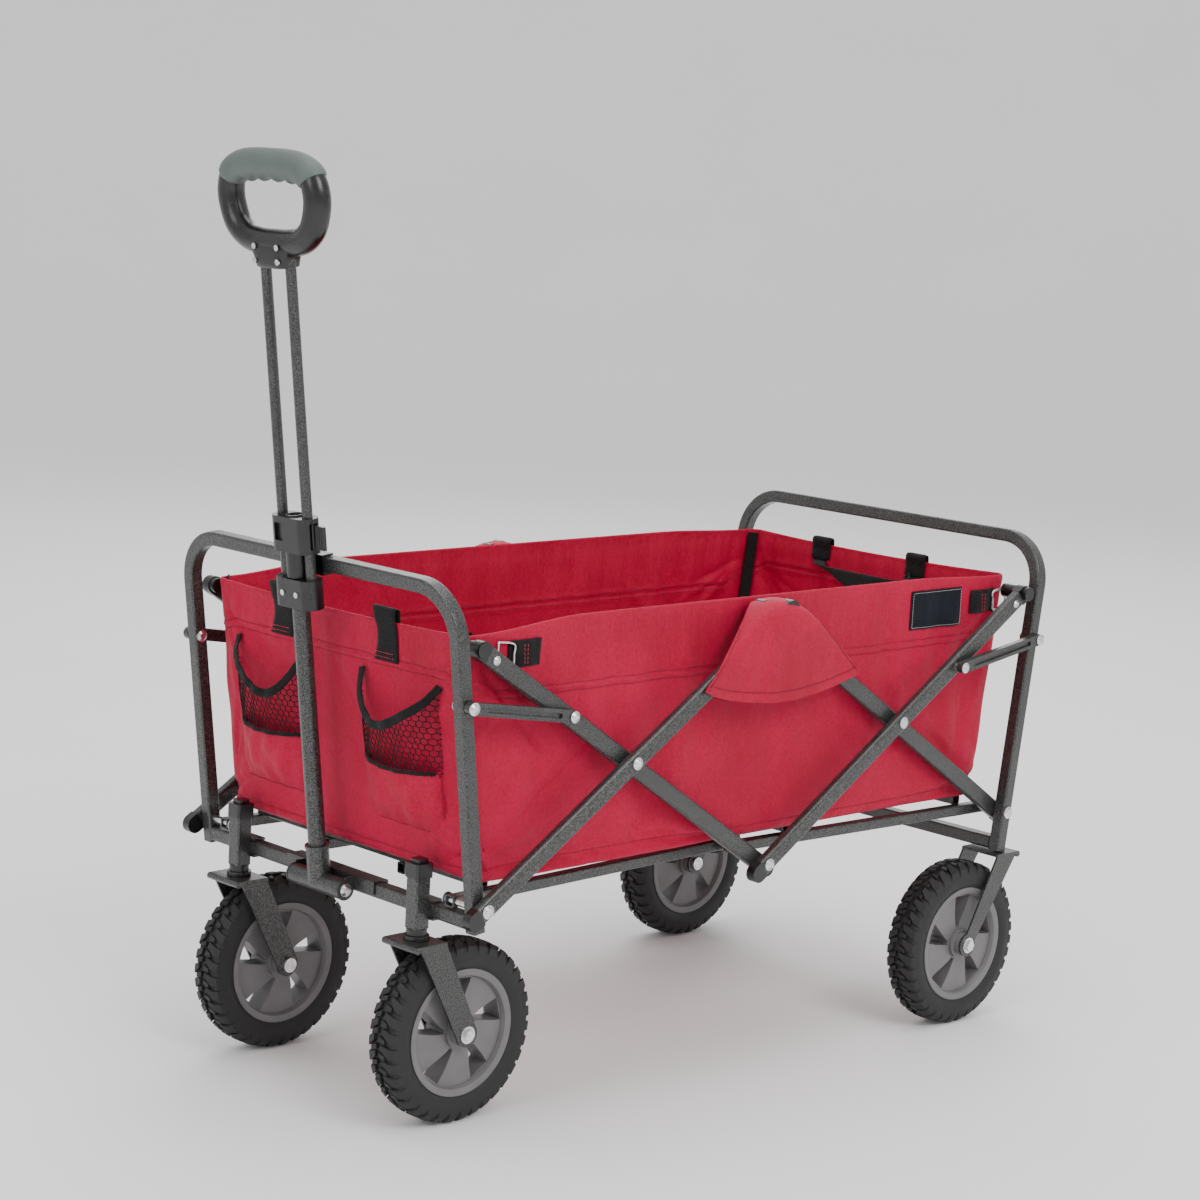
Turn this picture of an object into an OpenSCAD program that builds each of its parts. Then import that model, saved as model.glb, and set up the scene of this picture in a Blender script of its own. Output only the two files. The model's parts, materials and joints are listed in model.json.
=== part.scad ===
// Folding wagon with a pull handle. Millimetres, X forward, Y left, Z up from the ground.
// The side braces are two scissors that meet in the middle, where X is 0 before centring.

/* [Scissor frame] */
// Length of a brace between its end frame pivot and its crossing
outer_arm = 231; // [228:1:234]
// Length of a brace between its crossing and the middle pivots
inner_arm = 245; // [242:1:248]
// Angle of the braces above the ground when the wagon is open
open_angle = 33; // [32:0.5:34]
// Height of the pivots at the foot of each end frame
pivot_z = 243; // [240:1:246]
// Width of a brace across its flat side
brace_w = 19; // [17:1:20]
// Thickness of a brace
brace_t = 11; // [9:1:11]
// Distance from a crossing to the pivot of the short link
link_reach = 103; // [101:1:105]

/* [End frames] */
// Outward lean of both end frames in degrees
lean = 7.15; // [6.5:0.05:7.5]
// Side of the square tube
tube = 15; // [14:0.5:15]
// Height of the middle of the top rails
rail_z = 558; // [550:1:566]
// Bend radius of the top corners at the middle of the tube
bend_r = 52; // [48:1:56]
// Half the distance between the posts of the front frame
front_half_w = 218; // [217:0.5:218]
// Half the distance between the posts of the rear frame
rear_half_w = 234; // [234:0.5:235]

/* [Wheels] */
// Radius of a wheel over its tread
wheel_r = 95; // [92:1:95]
// Width of a tyre
tyre_w = 41; // [38:1:41]
// Half the distance between the front wheels
front_track = 148; // [146:1:149]
// Half the distance between the rear wheels
rear_track = 221; // [220:0.5:222]
// How far ahead of the foot pivots the casters swivel
swivel_out = 12.8; // [12.5:0.1:14]
// How far a caster's axle trails behind its swivel
trail = 50; // [46:1:52]
// How far the rear axles stand in from the foot pivots
rear_axle_in = 63; // [61:0.5:65]

/* [Pull handle] */
// Height along the handle where the grip block starts
grip_v = 616; // [600:1:620]
// Width of the grip over its sides
grip_w = 158; // [150:1:164]
// Half the distance between the two rods
rod_y = 20; // [20:0.5:21]

/* [Bag] */
// Height of the top hem
hem_z = 517; // [512:1:520]
// Half the outer width of the bag
bag_half_w = 204; // [202:1:204]
// Thickness of the fabric walls as plain solids
cloth = 4; // [3:0.5:4]

/* [Hidden] */

$fn = 48;
steel = [0.24, 0.26, 0.26];
zinc = [0.78, 0.79, 0.80];
plastic = [0.08, 0.08, 0.085];
pad_grey = [0.33, 0.38, 0.37];
rim_grey = [0.30, 0.31, 0.32];
rubber = [0.06, 0.06, 0.065];
red = [0.78, 0.07, 0.22];

wall = 1.5;                       // wall of the square and round tubes
corner_r = 2.5;                   // rounding of the square tube
pivot_x = (outer_arm + inner_arm) * cos(open_angle);
crossing_x = inner_arm * cos(open_angle);
crossing_z = pivot_z + outer_arm * sin(open_angle);
mid_low_z = crossing_z - inner_arm * sin(open_angle);
mid_high_z = crossing_z + inner_arm * sin(open_angle);
rail_v = (rail_z - pivot_z) / cos(lean);   // from the foot pivots to the rail, along the posts
swivel_x = pivot_x + swivel_out;
rear_axle_x = pivot_x - rear_axle_in;
rivet_r = 4;                      // pivot pins of the braces
rivet_bore = 4.05;                // running bore for them
loose_bore = 4.4;                 // bore of the middle top pivot, where the linkage is open
inner_y = front_half_w + 1;       // middle of the inner brace layer
outer_y = inner_y + 14;           // middle of the outer brace layer
brace_over = 8;                   // how far a brace's metal runs past its end pivots
upper_end = 231;                  // from the crossing to the top end of an upper brace
cap_gap = 0.05;
post_x = -2;                      // cross tube's middle, from the foot pivots
tube_gap = 0.05;                  // clearance of what is fitted round a tube
rail_over = 5.6;                  // how far a floor rail runs past its hinge
stem_r = 6.5;
stem_bore = 6.56;
link_w = 13;
link_t = 7;
front_link_y = front_half_w + tube / 2 + 1.5 + link_t / 2;
rear_link_y = rear_half_w + tube / 2 + 1.5 + link_t / 2;
link_z = 446;                     // height of the link pivots on the posts
link_v = (link_z - pivot_z) / cos(lean);
link_x = pivot_x + link_v * sin(lean);
link_end_x = crossing_x + link_reach * cos(open_angle);
link_end_z = crossing_z + link_reach * sin(open_angle);
link_len = sqrt(pow(link_x - link_end_x, 2) + pow(link_z - link_end_z, 2));
link_angle = atan2(link_z - link_end_z, link_x - link_end_x);
cross_z = 227;                    // middle of the front cross tube
rear_cross_z = 206;               // middle of the rear cross tube
crown_z = 193;                    // underside of the fork crowns
leg_y = 24;                       // inner face of a fork leg, from the wheel's middle
leg_t = 2.5;
axle_r = 5;
axle_bore = 5.06;
housing = 18;                     // side of the square caster housings
housing_low = 208;
gusset_t = 2.4;
gusset_w = 30;
housing_top = 272;
rail_w = 12;                      // side of the floor frame tubes
front_rail_y = 187;               // floor rails at their hinged ends
rear_rail_y = 202;
rail_in = 21;                     // how far they come in towards the middle
bar_in = 42;                      // crossbar of the floor frame, from its hinge line
front_bar_y = 62;                 // lengthwise tubes under the floor
rear_bar_y = 80;
rear_bar_in = 316;                // far crossbar of the rear floor frame
handle_x = 22.5;                  // handle in front of the front frame, square to it
handle_v = -17;                   // handle pivot, along the posts from the foot pivots
handle_r = 9.2;
sleeve_half = 40;                 // half the length of the handle's pivot sleeve
rod_r = 5.5;
rod_bore = 5.56;
collar_low = 275;
collar_high = 305;
clamp_low = 332;
clamp_high = 368;
lever_y = 28.2;                   // pin of the thumb lever, from the handle's middle
grip_r = 13.5;
grip_h = 70;                      // centre height of the grip's loop
grip_side = grip_w / 2 - grip_r;
grip_bend = 30;
grip_low = 28;                    // bottom bar of the loop above the start of the grip block
block_face = 13.7;                // half the thickness of the grip block
pad_half = 35;                    // half the length of the pad
bag_in = 18;                      // bag's end walls behind the posts, square to the end frame
bag_low = 262;
wall_low = 292;                   // lower edge of the end walls, clear of the swinging floor tubes
floor_t = 6;
floor_end = 36;                   // gap between a floor pad and its hinge line
pad_r = 15.4;
front_end = pivot_x + handle_x * cos(lean) + (grip_v + grip_low + grip_h) * sin(lean) + pad_r;
rear_end = pivot_x + rail_v * sin(lean) + (tube / 2 - corner_r) * (cos(lean) + sin(lean)) + corner_r;
mid_x = (front_end - rear_end) / 2;   // middle of the whole length, ahead of the scissors' middle

// ---- shared shapes ----
module centred() { translate([-mid_x, 0, 0]) children(); }
module both_sides() { children(); mirror([0, 1, 0]) children(); }
module front_plane() { translate([pivot_x, 0, pivot_z]) rotate([0, lean, 0]) children(); }
module rear_plane() { translate([-pivot_x, 0, pivot_z]) rotate([0, -lean, 0]) children(); }

// A flat rounded rectangle made only of squares and circles
module rounded(a, b, r) {
    square([a - 2 * r, b], center = true);
    square([a, b - 2 * r], center = true);
    for (i = [-1, 1], j = [-1, 1]) translate([i * (a / 2 - r), j * (b / 2 - r)]) circle(r);
}
module tube_section(a, b, r) {
    difference() {
        rounded(a, b, r);
        rounded(a - 2 * wall, b - 2 * wall, max(r - wall, 0.5));
    }
}
module pin_y(r, y0, y1) { translate([0, y0, 0]) rotate([-90, 0, 0]) cylinder(h = y1 - y0, r = r); }
// Tube that runs along Y from y0 to y1
module run_y(y0, y1, side) {
    translate([0, y0, 0]) rotate([-90, 0, 0]) linear_extrude(y1 - y0) tube_section(side, side, corner_r);
}
// Domed rivet head whose flat side lies at y0 and which stands out towards +Y
module head(y0, r) {
    translate([0, y0, 0]) rotate([-90, 0, 0]) {
        cylinder(h = 0.8, r = r);
        translate([0, 0, 0.8]) cylinder(h = 1.6, r1 = r * 0.92, r2 = r * 0.5);
    }
}

// ---- end frames ----
// Bent hoop with its foot at v0; it stands in a plane with X square to it
module hoop(half_w, v0) {
    difference() {
        union() {
            both_sides() {
                translate([0, half_w, v0]) linear_extrude(rail_v - bend_r - v0)
                    tube_section(tube, tube, corner_r);
                translate([0, half_w - bend_r, rail_v - bend_r]) rotate([90, 0, 90])
                    rotate_extrude(angle = 90) translate([bend_r, 0]) tube_section(tube, tube, corner_r);
            }
            translate([0, 0, rail_v]) run_y(bend_r - half_w, half_w - bend_r, tube);
        }
        both_sides() for (v = [0, link_v])
            translate([0, 0, v]) pin_y(rivet_bore, half_w - tube, half_w + tube);
    }
}
module front_hoop() color(steel) centred() front_plane() hoop(front_half_w, -26);
module rear_hoop() color(steel) centred() rear_plane() hoop(rear_half_w, -46);

module front_cross_tube() color(steel) centred()
    translate([pivot_x + post_x, 0, cross_z])
        run_y(tube / 2 - front_half_w, front_half_w - tube / 2, tube);

module rear_cross_tube() color(steel) centred() {
    translate([4.5 - pivot_x, 0, rear_cross_z])
        run_y(tube / 2 - rear_half_w, rear_half_w - tube / 2, tube);
}

module caster_housings() color(steel) centred() both_sides()
    translate([swivel_x, front_track, 0]) {
        difference() {
            translate([0, 0, housing_low]) linear_extrude(housing_top - housing_low)
                rounded(housing, housing, corner_r);
            translate([0, 0, housing_low - 1]) cylinder(h = housing_top - housing_low + 2, r = stem_bore);
            translate([post_x - swivel_out, 0, cross_z])
                cube([tube + 2 * tube_gap, 2 * housing, tube + 2 * tube_gap], center = true);
        }
        for (z = [cross_z + tube / 2 + tube_gap, cross_z - tube / 2 - tube_gap - gusset_t])
            translate([post_x - swivel_out - tube / 2, -gusset_w / 2, z])
                cube([swivel_out - post_x + tube / 2 - stem_bore - 1, gusset_w, gusset_t]);
    }

// Black rings between the housings and the fork crowns
module swivel_bearings() color(plastic) centred() both_sides()
    translate([swivel_x, front_track, crown_z + 3.3]) difference() {
        union() {
            cylinder(h = housing_low - crown_z - 3.3, r = 10.5);
            cylinder(h = 5, r = 13);
        }
        translate([0, 0, -1]) cylinder(h = housing_low - crown_z, r = stem_bore);
    }

module housing_caps() color(plastic) centred() both_sides()
    translate([swivel_x, front_track, 0]) {
        translate([0, 0, housing_top]) linear_extrude(3) rounded(21, 21, 3);
        difference() {
            translate([0, 0, housing_top - 12]) linear_extrude(12) rounded(21, 21, 3);
            translate([0, 0, housing_top - 13]) linear_extrude(13)
                rounded(housing + 0.1, housing + 0.1, corner_r);
        }
        translate([0, 0, housing_top + 3]) linear_extrude(4) rounded(14, 14, 3);
    }

// Saddle on the cross tube with two ears for the handle's pivot bolt
module handle_bracket() color(steel) centred() {
    bolt_x = pivot_x + handle_x * cos(lean) + handle_v * sin(lean);
    bolt_z = pivot_z - handle_x * sin(lean) + handle_v * cos(lean);
    saddle = 144;
    translate([pivot_x + post_x, 0, cross_z]) rotate([90, 0, 0])
        linear_extrude(saddle, center = true) difference() {
            translate([-9.5, -4]) square([19, 13.5]);
            translate([-tube / 2 - tube_gap, -20]) square([tube + 2 * tube_gap, 20 + tube / 2 + tube_gap]);
        }
    for (y = [-sleeve_half - 2.6, sleeve_half + 0.6]) difference() {
        translate([0, y + 2, 0]) rotate([90, 0, 0]) linear_extrude(2) union() {
            translate([pivot_x + 5.5, cross_z - 4]) square([bolt_x - pivot_x - 5.5, 13.5]);
            translate([bolt_x, bolt_z]) circle(11);
        }
        translate([bolt_x, 0, bolt_z]) pin_y(rivet_bore, -60, 60);
        translate([pivot_x + post_x - tube / 2, -60, cross_z - tube])
            cube([tube + 2, 120, tube * 1.5 + tube_gap]);
    }
}

// Pivot bolts through the posts, the rivets of the links and the stand-off sleeves of the floor hinge
module front_frame_bolts() color(zinc) centred() both_sides() {
    translate([pivot_x, 0, pivot_z]) {
        pin_y(rivet_r, front_rail_y - 9, outer_y + brace_t / 2 + 0.6);
        head(outer_y + brace_t / 2 + 0.5, 7);
        mirror([0, 1, 0]) head(-front_rail_y + 8.5, 7);
    }
    translate([link_x, 0, link_z]) {
        pin_y(rivet_r, front_half_w - tube / 2 - 0.6, front_link_y + link_t / 2 + 0.6);
        head(front_link_y + link_t / 2 + 0.5, 6.5);
        mirror([0, 1, 0]) head(-front_half_w + tube / 2 + 0.5, 6.5);
    }
}
module rear_frame_bolts() color(zinc) centred() both_sides() {
    translate([-pivot_x, 0, pivot_z]) {
        pin_y(rivet_r, rear_rail_y - 9, rear_half_w + tube / 2 + 0.6);
        head(rear_half_w + tube / 2 + 0.5, 7);
        mirror([0, 1, 0]) head(-rear_rail_y + 8.5, 7);
    }
    translate([-link_x, 0, link_z]) {
        pin_y(rivet_r, rear_half_w - tube / 2 - 0.6, rear_link_y + link_t / 2 + 0.6);
        head(rear_link_y + link_t / 2 + 0.5, 6.5);
        mirror([0, 1, 0]) head(-rear_half_w + tube / 2 + 0.5, 6.5);
    }
}

// ---- braces ----
// Flat tube of the left side along a line, from start to end distances, with bores at the given distances
module brace(x, z, angle, start, end, y, bores) {
    translate([x, y, z]) rotate([0, -angle, 0]) difference() {
        translate([start, 0, 0]) rotate([90, 0, 90]) linear_extrude(end - start)
            tube_section(brace_t, brace_w, 3.5);
        for (b = bores) translate([b[0], 0, 0]) pin_y(b[1], -brace_t, brace_t);
    }
}
// Moulded end cap that closes a brace between two distances, with a round end
module end_cap(x, z, angle, from, y, dir) {
    translate([x, y, z]) rotate([0, -angle, 0]) translate([from, 0, 0]) {
        rotate([90, 0, 0]) linear_extrude(brace_t, center = true) {
            translate([dir * 4, 0]) square([8, brace_w + 0.4], center = true);
            intersection() {
                translate([dir * 8, 0]) circle(r = brace_w / 2 + 0.2);
                translate([dir * brace_w, 0]) square(2 * brace_w, center = true);
            }
        }
    }
}
module front_lower_braces() color(steel) centred() both_sides()
    brace(pivot_x, pivot_z, 180 - open_angle, -brace_over, outer_arm + inner_arm + brace_over, outer_y,
        [[0, rivet_bore], [outer_arm, rivet_bore], [outer_arm + inner_arm, rivet_bore]]);
module front_upper_braces() color(steel) centred() both_sides()
    brace(crossing_x, crossing_z, open_angle, -inner_arm - brace_over, upper_end, inner_y,
        [[-inner_arm, rivet_bore], [0, rivet_bore], [link_reach, rivet_bore]]);
module rear_lower_braces() color(steel) centred() both_sides()
    brace(-pivot_x, pivot_z, open_angle, -brace_over, outer_arm + inner_arm + brace_over, inner_y,
        [[0, rivet_bore], [outer_arm, rivet_bore], [outer_arm + inner_arm, loose_bore]]);
module rear_upper_braces() color(steel) centred() both_sides()
    brace(-crossing_x, crossing_z, 180 - open_angle, -inner_arm - brace_over, upper_end, outer_y,
        [[-inner_arm, rivet_bore], [0, rivet_bore], [link_reach, rivet_bore]]);

module front_lower_brace_caps() color(plastic) centred() both_sides() {
    end_cap(pivot_x, pivot_z, 180 - open_angle, -brace_over - cap_gap, outer_y, -1);
    end_cap(pivot_x, pivot_z, 180 - open_angle, outer_arm + inner_arm + brace_over + cap_gap, outer_y, 1);
}
module rear_lower_brace_caps() color(plastic) centred() both_sides() {
    end_cap(-pivot_x, pivot_z, open_angle, -brace_over - cap_gap, inner_y, -1);
    end_cap(-pivot_x, pivot_z, open_angle, outer_arm + inner_arm + brace_over + cap_gap, inner_y, 1);
}
// The corner caps carry a round stub that holds the bag's corner
module corner_cap(x, z, angle, y, stub_in, stub_out) {
    end_cap(x, z, angle, upper_end + cap_gap, y, 1);
    translate([x, y, z]) rotate([0, -angle, 0]) translate([upper_end + 9, 0, 0])
        pin_y(8, -brace_t / 2 - stub_in, brace_t / 2 + stub_out);
}
module front_upper_brace_caps() color(plastic) centred() both_sides() {
    end_cap(crossing_x, crossing_z, open_angle, -inner_arm - brace_over - cap_gap, inner_y, -1);
    corner_cap(crossing_x, crossing_z, open_angle, inner_y, 7, 1.5);
}
module rear_upper_brace_caps() color(plastic) centred() both_sides() {
    end_cap(-crossing_x, crossing_z, 180 - open_angle, -inner_arm - brace_over - cap_gap, outer_y, -1);
    corner_cap(-crossing_x, crossing_z, 180 - open_angle, outer_y, 20, 6);
}

// Pivot rivets: each runs from the inner layer to the outer one, or through one brace only
module rivet(x, z, y0, y1, r) {
    translate([x, 0, z]) {
        pin_y(rivet_r, y0, y1);
        head(y1 - 0.1, r);
        mirror([0, 1, 0]) head(-y0 - 0.1, r);
    }
}
// The brace's half of a link pivot, which is open there
module pin_stub(x, y0, y1) {
    translate([x, 0, link_end_z]) {
        pin_y(rivet_r, y0, y1);
        mirror([0, 1, 0]) head(-y0 - 0.1, 6);
    }
}
// The link's half of that pivot, with the head that shows
module link_rivet(x, y) {
    translate([x, 0, link_end_z]) {
        pin_y(rivet_r, y - link_t / 2 - 0.1, y + link_t / 2 + 0.6);
        head(y + link_t / 2 + 0.5, 6);
    }
}
inner_face = inner_y - brace_t / 2 - 0.5;
outer_face = outer_y + brace_t / 2 + 0.5;
module front_upper_brace_rivets() color(zinc) centred() both_sides() {
    rivet(crossing_x, crossing_z, inner_face, outer_face, 6.5);
    rivet(0, mid_low_z, inner_face, outer_face, 6.5);
    pin_stub(link_end_x, inner_face, inner_y + brace_t / 2 + 1.8);
    translate([crossing_x, inner_y, crossing_z]) rotate([0, -open_angle, 0]) translate([upper_end - 11, 0, 0])
        head(brace_t / 2, 4.5);
}
module front_lower_brace_rivets() color(zinc) centred() both_sides()
    rivet(0, mid_high_z, inner_face, outer_face, 6.5);
module rear_upper_brace_rivets() color(zinc) centred() both_sides() {
    rivet(-crossing_x, crossing_z, inner_face, outer_face, 6.5);
    pin_stub(-link_end_x, outer_y - brace_t / 2 - 0.5, outer_y + brace_t / 2 + 4.2);
    translate([-crossing_x, outer_y, crossing_z]) rotate([0, open_angle - 180, 0])
        translate([upper_end - 11, 0, 0]) head(brace_t / 2, 4.5);
}

// Pressed link with a raised rib, from the post pivot to the brace pivot
module link() {
    difference() {
        rotate([90, 0, 0]) linear_extrude(link_t, center = true) {
            translate([-link_len / 2, 0]) square([link_len, link_w], center = true);
            circle(r = link_w / 2);
            translate([-link_len, 0]) circle(r = link_w / 2);
        }
        translate([-link_len / 2, 5.5 + link_t / 2 - 2.5, 0]) cube([link_len - 34, 11, 5], center = true);
        pin_y(rivet_bore, -link_t, link_t);
        translate([-link_len, 0, 0]) pin_y(rivet_bore, -link_t, link_t);
    }
}
module front_links() color(steel) centred() both_sides()
    translate([link_x, front_link_y, link_z]) rotate([0, -link_angle, 0]) link();
module rear_links() color(steel) centred() both_sides()
    translate([-link_x, rear_link_y, link_z]) rotate([0, link_angle, 0])
        mirror([1, 0, 0]) link();

module front_link_rivets() color(zinc) centred() both_sides() link_rivet(link_end_x, front_link_y);
module rear_link_rivets() color(zinc) centred() both_sides() link_rivet(-link_end_x, rear_link_y);

// ---- floor frames: x is measured inwards from the hinge ----
module floor_rails(y0, reach) {
    turn = atan(rail_in / pivot_x);
    both_sides() difference() {
        translate([0, y0, 0]) rotate([0, 0, -turn]) translate([-rail_over, 0, 0]) rotate([90, 0, 90])
            linear_extrude(reach / cos(turn) + rail_over) tube_section(rail_w, rail_w, 2);
        pin_y(rivet_bore, y0 - 20, y0 + 20);
    }
}
module floor_bar(x, y0, y1, z) { translate([x, 0, z]) run_y(y0, y1, rail_w); }
module lengthwise(y, x0, x1) {
    translate([x0, y, 0]) rotate([90, 0, 90]) linear_extrude(x1 - x0) tube_section(rail_w, rail_w, 2);
}
module front_floor_frame() color(steel) centred() translate([pivot_x, 0, pivot_z]) mirror([1, 0, 0]) {
    floor_rails(front_rail_y, pivot_x + 5);
    floor_bar(bar_in, 4 - front_rail_y, front_rail_y - 4, rail_w);
    for (s = [-1, 1]) lengthwise(s * front_bar_y, bar_in - rail_w / 2, pivot_x + 4);
    floor_bar(pivot_x, rail_in - 6 - front_rail_y, front_rail_y + 6 - rail_in, rail_w);
}
module rear_floor_frame() color(steel) centred() translate([-pivot_x, 0, pivot_z]) {
    floor_rails(rear_rail_y, pivot_x + 5);
    floor_bar(bar_in, 4 - rear_rail_y, rear_rail_y - 4, rail_w);
    floor_bar(rear_bar_in, 18 - rear_rail_y, rear_rail_y - 18, rail_w);
    for (s = [-1, 1]) lengthwise(s * rear_bar_y, bar_in - rail_w / 2, rear_bar_in + rail_w / 2);
}

// ---- pull handle: drawn in the front frame's plane, moved ahead of it ----
module handle_space() centred() front_plane() translate([handle_x, 0, 0]) children();

module pivot_sleeve() color(steel) handle_space() translate([0, 0, handle_v]) difference() {
    union() {
        rotate([90, 0, 0]) cylinder(h = 2 * sleeve_half, r = 10.7, center = true);
        cylinder(h = 40, r = 12);
        translate([0, 0, 37]) cylinder(h = 3, r = 13);
    }
    rotate([90, 0, 0]) cylinder(h = 100, r = rivet_bore, center = true);
    translate([0, 0, 12]) cylinder(h = 30, r = handle_r + 0.02);
}
module handle_pivot_bolt() color(zinc) handle_space() translate([0, 0, handle_v]) {
    pin_y(rivet_r, -sleeve_half - 2.7, sleeve_half + 2.7);
    head(sleeve_half + 2.65, 7);
    mirror([0, 1, 0]) head(sleeve_half + 2.65, 7);
}
module lower_handle_tube() color(steel) handle_space() difference() {
    translate([0, 0, handle_v + 12]) cylinder(h = clamp_high + 1.5 - handle_v - 12, r = handle_r);
    translate([0, 0, handle_v + 14]) cylinder(h = 400, r = handle_r - wall);
}
// Oval outline that holds both rods and the tube
module oval(w, d) {
    square([d, w - d], center = true);
    for (s = [-1, 1]) translate([0, s * (w - d) / 2]) circle(d / 2);
}
module rod_holes(r) { for (s = [-1, 1]) translate([0, s * rod_y, -400]) cylinder(h = 1200, r = r); }
module handle_clamp() color(plastic) handle_space() difference() {
    union() {
        translate([0, 0, clamp_low]) linear_extrude(clamp_high - clamp_low) oval(60, 25);
        translate([0, 0, collar_high + 1]) cylinder(h = clamp_low - collar_high, r = 12);
    }
    translate([0, 0, -400]) cylinder(h = 1200, r = handle_r + 0.03);
    rod_holes(rod_bore);
    translate([9, -19, clamp_low + 11]) cube([10, 12, 18]);
    difference() {
        translate([-5, 25.4, clamp_low + 5]) cube([10, 10, 26]);
        translate([0, lever_y, clamp_low]) cylinder(h = 40, r = 1.4);
    }
}
module rail_clip() color(plastic) handle_space() {
    difference() {
        union() {
            translate([-14.95, -24, rail_v - 10.5]) cube([2.75, 48, 21]);
            translate([-12.4, -7, rail_v - 5]) cube([3.4, 14, 13]);
            for (v = [-10.5, 8.2]) translate([-26, -24, rail_v + v]) cube([13, 48, 2.3]);
        }
        translate([0, 0, rail_v - 20]) cylinder(h = 40, r = 12.02);
    }
}
// Thumb lever that turns on a small upright pin in the side of the clamp
module clamp_lever() color(plastic) handle_space() translate([0, lever_y, clamp_low + 6]) difference() {
    linear_extrude(24) {
        circle(r = 2.5);
        translate([0, 10.5]) rounded(3.2, 18, 1.4);
        for (i = [0:3]) translate([1.4, 7 + 3.4 * i]) circle(r = 1.1);
    }
    translate([0, 0, -1]) cylinder(h = 30, r = 1.45);
}
module handle_rods() color(steel) handle_space() for (s = [-1, 1])
    translate([0, s * rod_y, collar_low + 3]) difference() {
        cylinder(h = grip_v + 24 - collar_low - 3, r = rod_r);
        translate([0, 0, 4]) cylinder(h = 400, r = rod_r - 1.2);
    }
module handle_collar() color(plastic) handle_space() difference() {
    translate([0, 0, collar_low]) linear_extrude(collar_high - collar_low) oval(60, 26);
    translate([0, 0, -400]) cylinder(h = 1200, r = handle_r + 0.06);
    for (s = [-1, 1]) translate([0, s * rod_y, collar_low + 3]) cylinder(h = 40, r = rod_r + 0.02);
}
// The grip is a round bar bent into a rounded loop on a flat block
module grip_loop(r) {
    rotate([90, 0, 90]) for (i = [-1, 1], j = [0, 1])
        translate([i * (grip_side - grip_bend), j * (grip_h - 2 * grip_bend) + grip_bend, 0])
            rotate([0, 0, i > 0 ? (j > 0 ? 0 : -90) : (j > 0 ? 90 : 180)])
                rotate_extrude(angle = 90) translate([grip_bend, 0]) circle(r = r);
    for (i = [-1, 1]) translate([0, i * grip_side, grip_bend]) cylinder(h = grip_h - 2 * grip_bend, r = r);
    for (j = [0, 1]) translate([0, 0, j * grip_h]) pin_y(r, grip_bend - grip_side, grip_side - grip_bend);
}
module handle_grip() color(plastic) handle_space() translate([0, 0, grip_v]) difference() {
    union() {
        translate([0, 0, grip_low]) grip_loop(grip_r);
        linear_extrude(30) rounded(2 * block_face, 62, 4);
    }
    for (s = [-1, 1]) translate([0, s * rod_y, -1]) cylinder(h = 25, r = rod_r + 0.02);
}
// Soft pad round the straight of the top bar, with ridges between the fingers
module grip_pad() color(pad_grey) handle_space() translate([0, 0, grip_v + grip_low + grip_h]) difference() {
    union() {
        pin_y(pad_r, -pad_half, pad_half);
        for (i = [-1:1]) translate([0, i * 22, -11.5]) pin_y(6.4, -5, 5);
    }
    pin_y(grip_r + 0.01, -pad_half - 1, pad_half + 1);
}
module handle_rivets() color(zinc) handle_space() {
    for (s = [-1, 1], v = [7, 21])
        translate([block_face, s * 18, grip_v + v]) rotate([0, 90, 0]) cylinder(h = 1.4, r = 3);
    for (s = [-1, 1]) translate([13, s * 11, collar_low + 15]) rotate([0, 90, 0]) cylinder(h = 1.4, r = 3);
}

// ---- wheels ----
// One leg: a tapered plate from the crown to the axle, seen from the side; the axle is at the origin
module leg_outline(reach, top) {
    half = 17;
    tip = 13;
    difference() {
        union() {
            circle(tip);
            polygon([[-tip * 0.95, 4], [reach - half, top], [reach + half, top], [tip * 0.9, -5]]);
        }
        circle(axle_bore);
    }
}
module fork(reach) {
    top = crown_z + 3 - wheel_r;
    for (y = [-leg_y - leg_t, leg_y]) translate([0, y + leg_t, 0]) rotate([90, 0, 0])
        linear_extrude(leg_t) leg_outline(reach, top);
    translate([reach, 0, top - 1.5]) cube([38, 2 * (leg_y + leg_t), 3], center = true);
    translate([reach + (reach > 0 ? 19 : -19), 0, top - 3.5]) pin_y(3.5, -leg_y - leg_t, leg_y + leg_t);
}
module caster_fork(side) color(steel) centred() translate([swivel_x - trail, side * front_track, wheel_r]) {
    fork(trail);
    translate([trail, 0, crown_z + 2 - wheel_r]) cylinder(h = housing_top - crown_z - 8, r = stem_r);
}
module left_caster_fork() caster_fork(1);
module right_caster_fork() caster_fork(-1);
module rear_forks() color(steel) centred() both_sides()
    translate([-rear_axle_x, rear_track, wheel_r]) fork(-62);

module axle() {
    pin_y(axle_r, -leg_y - leg_t - 2.5, leg_y + leg_t + 1);
    translate([0, leg_y + leg_t + 0.05, 0]) rotate([-90, 0, 0]) {
        cylinder(h = 1.2, r = 9);
        cylinder(h = 4.6, r = 6.4, $fn = 6);
    }
    translate([0, -leg_y - leg_t - 4.05, 0]) rotate([-90, 0, 0]) cylinder(h = 4, r = 8);
}
module left_caster_axle() color(zinc) centred() translate([swivel_x - trail, front_track, wheel_r]) axle();
module right_caster_axle() mirror([0, 1, 0]) left_caster_axle();
module rear_axles() color(zinc) centred() both_sides() translate([-rear_axle_x, rear_track, wheel_r]) axle();

rim_r = 66;                       // where the tyre sits on the rim
blades = 5;
module tyre() rotate([90, 0, 0]) rotate_extrude($fn = 96) polygon([[rim_r, -17], [rim_r, 17], [70, 19],
    [80, tyre_w / 2], [90, tyre_w / 2 - 1], [wheel_r, 13], [wheel_r, -13], [90, 1 - tyre_w / 2],
    [80, -tyre_w / 2], [70, -19]]);
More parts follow.
